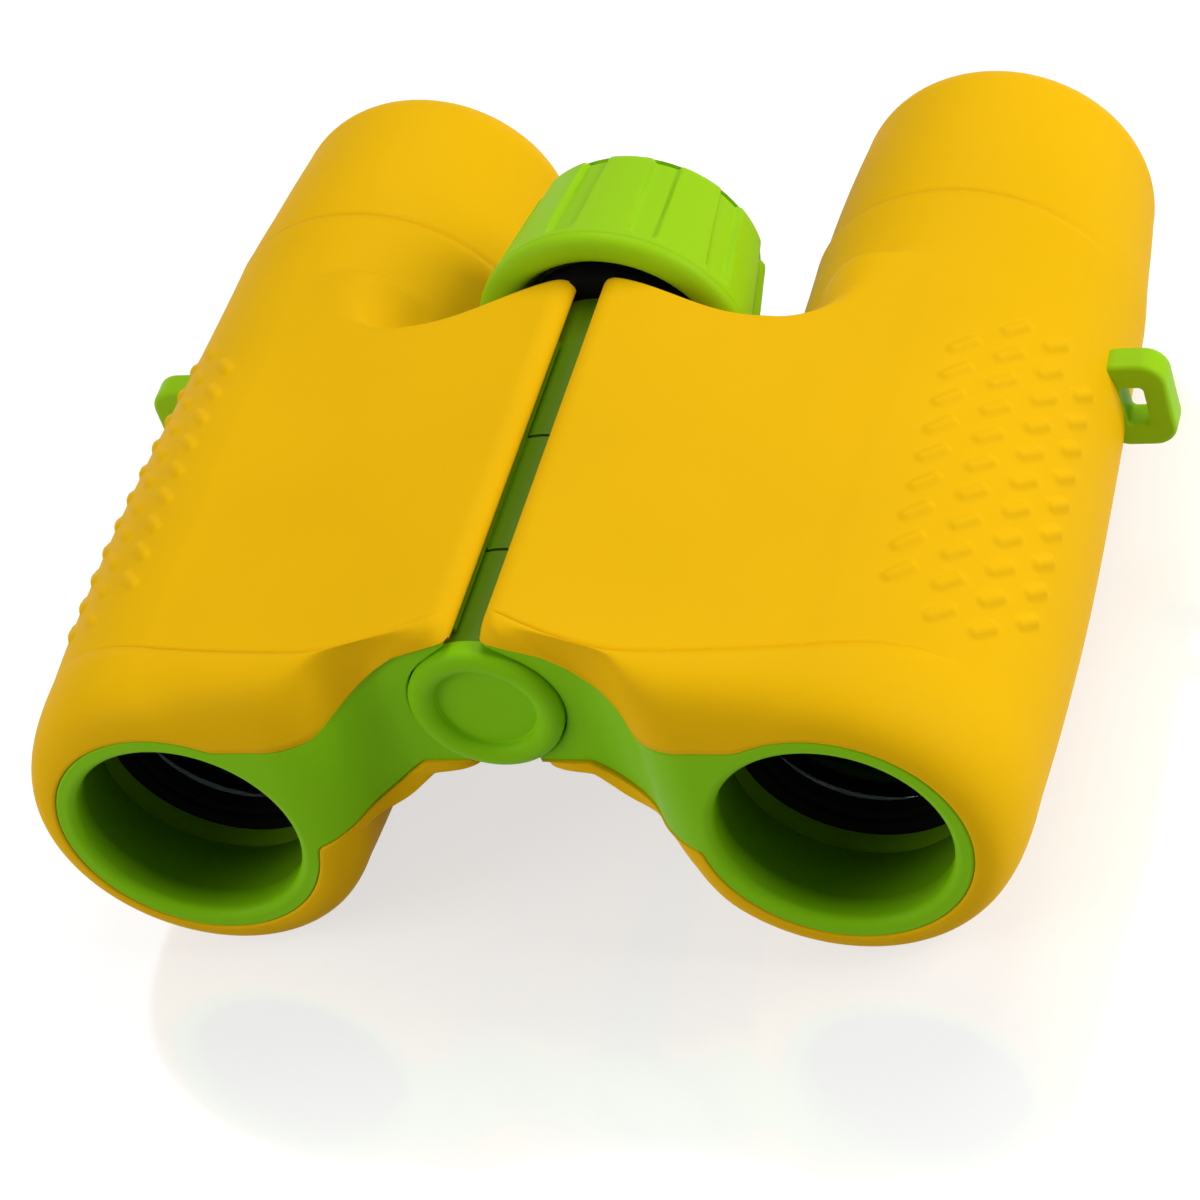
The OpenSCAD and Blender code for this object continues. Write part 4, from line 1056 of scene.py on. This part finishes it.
class BINOC_OT_finishes(bpy.types.Operator):
    """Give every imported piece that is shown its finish"""

    bl_idname = "binoc.finishes"
    bl_label = "Finishes"

    def execute(self, context):
        for name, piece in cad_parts.items():
            material = finish(SLOT_OF[name])
            if not piece.material_slots:
                piece.data.materials.append(material)
            for entry in piece.material_slots:
                entry.material = material
        return {"FINISHED"}


def slot_table():
    """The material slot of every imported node, as the record gives it."""
    table = {}
    for side in SIDES:
        for piece, slot in (
                ("armour", "yellow_rubber"), ("chassis", "green_frame"), ("bezel", "green_face"),
                ("strap_lug", "green_wheel"), ("objective_cell", "black_plastic"),
                ("objective_lens", "glass"), ("objective_ring", "black_plastic"),
                ("prism_cage", "black_plastic"), ("front_prism", "glass"), ("roof_prism", "glass"),
                ("eyepiece_tube", "black_plastic"), ("field_lens", "glass"), ("eye_lens", "glass"),
                ("eyepiece_ring", "black_plastic"), ("focus_arm", "grey_plastic")):
            table[side + "_" + piece] = slot
    table.update(
        focus_nut="brass", focus_spindle="steel", spindle_clip="steel", focus_wheel="green_wheel",
        wheel_cap="green_frame", hinge_pin="steel", hinge_bush="brass", hinge_cap="green_face",
        hinge_collar="black_plastic", hinge_washers="black_plastic")
    return table


SLOT_OF = slot_table()


def seen_rays(tree):
    """A socket that is 1 for rays from the camera, off a gloss or through glass, and 0 for the others."""
    path = add_node(tree, "LightPath")
    direct = add_node(tree, "Math")
    seen = add_node(tree, "Math")
    for node in (direct, seen):
        node.operation = "MAXIMUM"
    node_link(tree, path, "Is Camera Ray", direct, 0)
    node_link(tree, path, "Is Glossy Ray", direct, 1)
    node_link(tree, direct, 0, seen, 0)
    node_link(tree, path, "Is Transmission Ray", seen, 1)
    return seen.outputs[0]


def floor_material(studio):
    """White floor that keeps the object's shadow and mirrors it faintly."""
    material, tree = new_material("binoc_floor")
    tree.nodes.remove(tree.nodes["Principled BSDF"])
    plain = add_node(tree, "BsdfDiffuse", {"Color": (*studio.floor_colour, 1.0)})
    glow = add_node(tree, "Emission", {"Strength": studio.floor_glow})
    lit = add_node(tree, "AddShader")
    white = add_node(tree, "MixShader")
    gloss = add_node(tree, "BsdfGlossy", {"Roughness": 0.12})
    blend = add_node(tree, "MixShader", {"Fac": studio.floor_mirror})
    node_link(tree, plain, "BSDF", lit, 0)
    node_link(tree, glow, "Emission", lit, 1)
    tree.links.new(seen_rays(tree), white.inputs["Fac"])
    node_link(tree, plain, "BSDF", white, 1)
    node_link(tree, lit, "Shader", white, 2)
    node_link(tree, white, "Shader", blend, 1)
    node_link(tree, gloss, "BSDF", blend, 2)
    node_link(tree, blend, "Shader", tree.nodes["Material Output"], "Surface")
    return material


def add_light(name, place, aim, width, watts):
    """A soft square light that looks at a point."""
    data = bpy.data.lights.new(name, "AREA")
    data.shape = "SQUARE"
    data.size = width
    data.energy = watts
    lamp = bpy.data.objects.new(name, data)
    lamp.location = place
    lamp.rotation_euler = (Vector(aim) - Vector(place)).to_track_quat("-Z", "Y").to_euler()
    bpy.context.scene.collection.objects.link(lamp)


class BINOC_OT_stage(bpy.types.Operator):
    """Set up the floor, the lights and the camera"""

    bl_idname = "binoc.stage"
    bl_label = "Studio"

    aim = (0.0, 0.0, 0.02)

    def execute(self, context):
        scene = context.scene
        studio = scene.binoc_studio
        self.add_floor(studio)
        self.add_world(scene, studio)
        for name, place, watts in (
                ("right_light", (0.60, 0.05, 0.36), studio.right_power),
                ("left_light", (-0.50, -0.40, 0.34), studio.left_power),
                ("top_light", (0.05, 0.36, 0.62), studio.top_power)):
            add_light(name, place, self.aim, studio.light_size, watts)
        self.add_camera(scene, studio)
        scene.view_settings.view_transform = "Standard"
        return {"FINISHED"}

    def add_floor(self, studio):
        half = 6.0
        mesh = bpy.data.meshes.new("studio_floor")
        corners = [(-half, -half, 0.0), (half, -half, 0.0), (half, half, 0.0), (-half, half, 0.0)]
        mesh.from_pydata(corners, [], [(0, 1, 2, 3)])
        mesh.materials.append(floor_material(studio))
        floor = bpy.data.objects.new("studio_floor", mesh)
        bpy.context.scene.collection.objects.link(floor)

    def add_world(self, scene, studio):
        world = bpy.data.worlds.new("studio_room")
        scene.world = world
        world.use_nodes = True
        tree = world.node_tree
        even = {"Color": (1.0, 1.0, 1.0, 1.0)}
        room = tree.nodes["Background"]
        set_sockets(room, {**even, "Strength": studio.room_light})
        white = add_node(tree, "Background", {**even, "Strength": 1.0})
        blend = add_node(tree, "MixShader")
        tree.links.new(seen_rays(tree), blend.inputs["Fac"])
        node_link(tree, room, 0, blend, 1)
        node_link(tree, white, 0, blend, 2)
        node_link(tree, blend, 0, tree.nodes["World Output"], "Surface")

    def add_camera(self, scene, studio):
        az, el, roll = studio.azimuth, studio.elevation, studio.roll
        back = Vector((math.sin(az) * math.cos(el), -math.cos(az) * math.cos(el), math.sin(el)))
        side = (-back).cross(Vector((0.0, 0.0, 1.0))).normalized()
        top = side.cross(-back)
        right = math.cos(roll) * side + math.sin(roll) * top
        up = -math.sin(roll) * side + math.cos(roll) * top
        barrel = in_millimetres(scene.binoc_barrel)
        rims = Vector((0.0, -barrel["length"] / 2, barrel["belly_r"])) * MM
        data = bpy.data.cameras.new("camera")
        data.sensor_width = 36.0
        data.lens = studio.lens
        data.clip_start = 0.01
        data.clip_end = 50.0
        camera = bpy.data.objects.new("camera", data)
        place = rims + back * studio.distance + right * studio.aim_x + up * studio.aim_y
        turn = Matrix((right, up, back)).transposed().to_4x4()
        camera.matrix_world = Matrix.Translation(place) @ turn
        scene.collection.objects.link(camera)
        scene.camera = camera


class BINOC_PT_panel(bpy.types.Panel):
    """Lists the pieces in the order they are built"""

    bl_idname = "BINOC_PT_panel"
    bl_label = "Binoculars"
    bl_space_type = "VIEW_3D"
    bl_region_type = "UI"
    bl_category = "Binoculars"

    def draw(self, context):
        for operator in OPERATORS:
            self.layout.operator(operator.bl_idname)


GROUPS = {
    "binoc_barrel": BarrelSizes,
    "binoc_face": FaceSizes,
    "binoc_bridge": BridgeSizes,
    "binoc_grip": GripSizes,
    "binoc_wheel": WheelSizes,
    "binoc_lug": LugSizes,
    "binoc_finish": Finishes,
    "binoc_studio": StudioSettings,
}
OPERATORS = (
    BINOC_OT_finishes, BINOC_OT_armour, BINOC_OT_faces, BINOC_OT_lugs, BINOC_OT_wheel, BINOC_OT_cap,
    BINOC_OT_stage)


def register():
    for name, group in GROUPS.items():
        bpy.utils.register_class(group)
        setattr(bpy.types.Scene, name, bpy.props.PointerProperty(type=group))
    for operator in OPERATORS:
        bpy.utils.register_class(operator)
    bpy.utils.register_class(BINOC_PT_panel)


def unregister():
    bpy.utils.unregister_class(BINOC_PT_panel)
    for operator in reversed(OPERATORS):
        bpy.utils.unregister_class(operator)
    for name, group in reversed(GROUPS.items()):
        delattr(bpy.types.Scene, name)
        bpy.utils.unregister_class(group)


def main():
    register()
    bpy.ops.binoc.finishes()
    bpy.ops.binoc.armour()
    bpy.ops.binoc.faces()
    bpy.ops.binoc.lugs()
    bpy.ops.binoc.wheel()
    bpy.ops.binoc.cap()
    bpy.ops.binoc.stage()


if __name__ == "__main__":
    main()
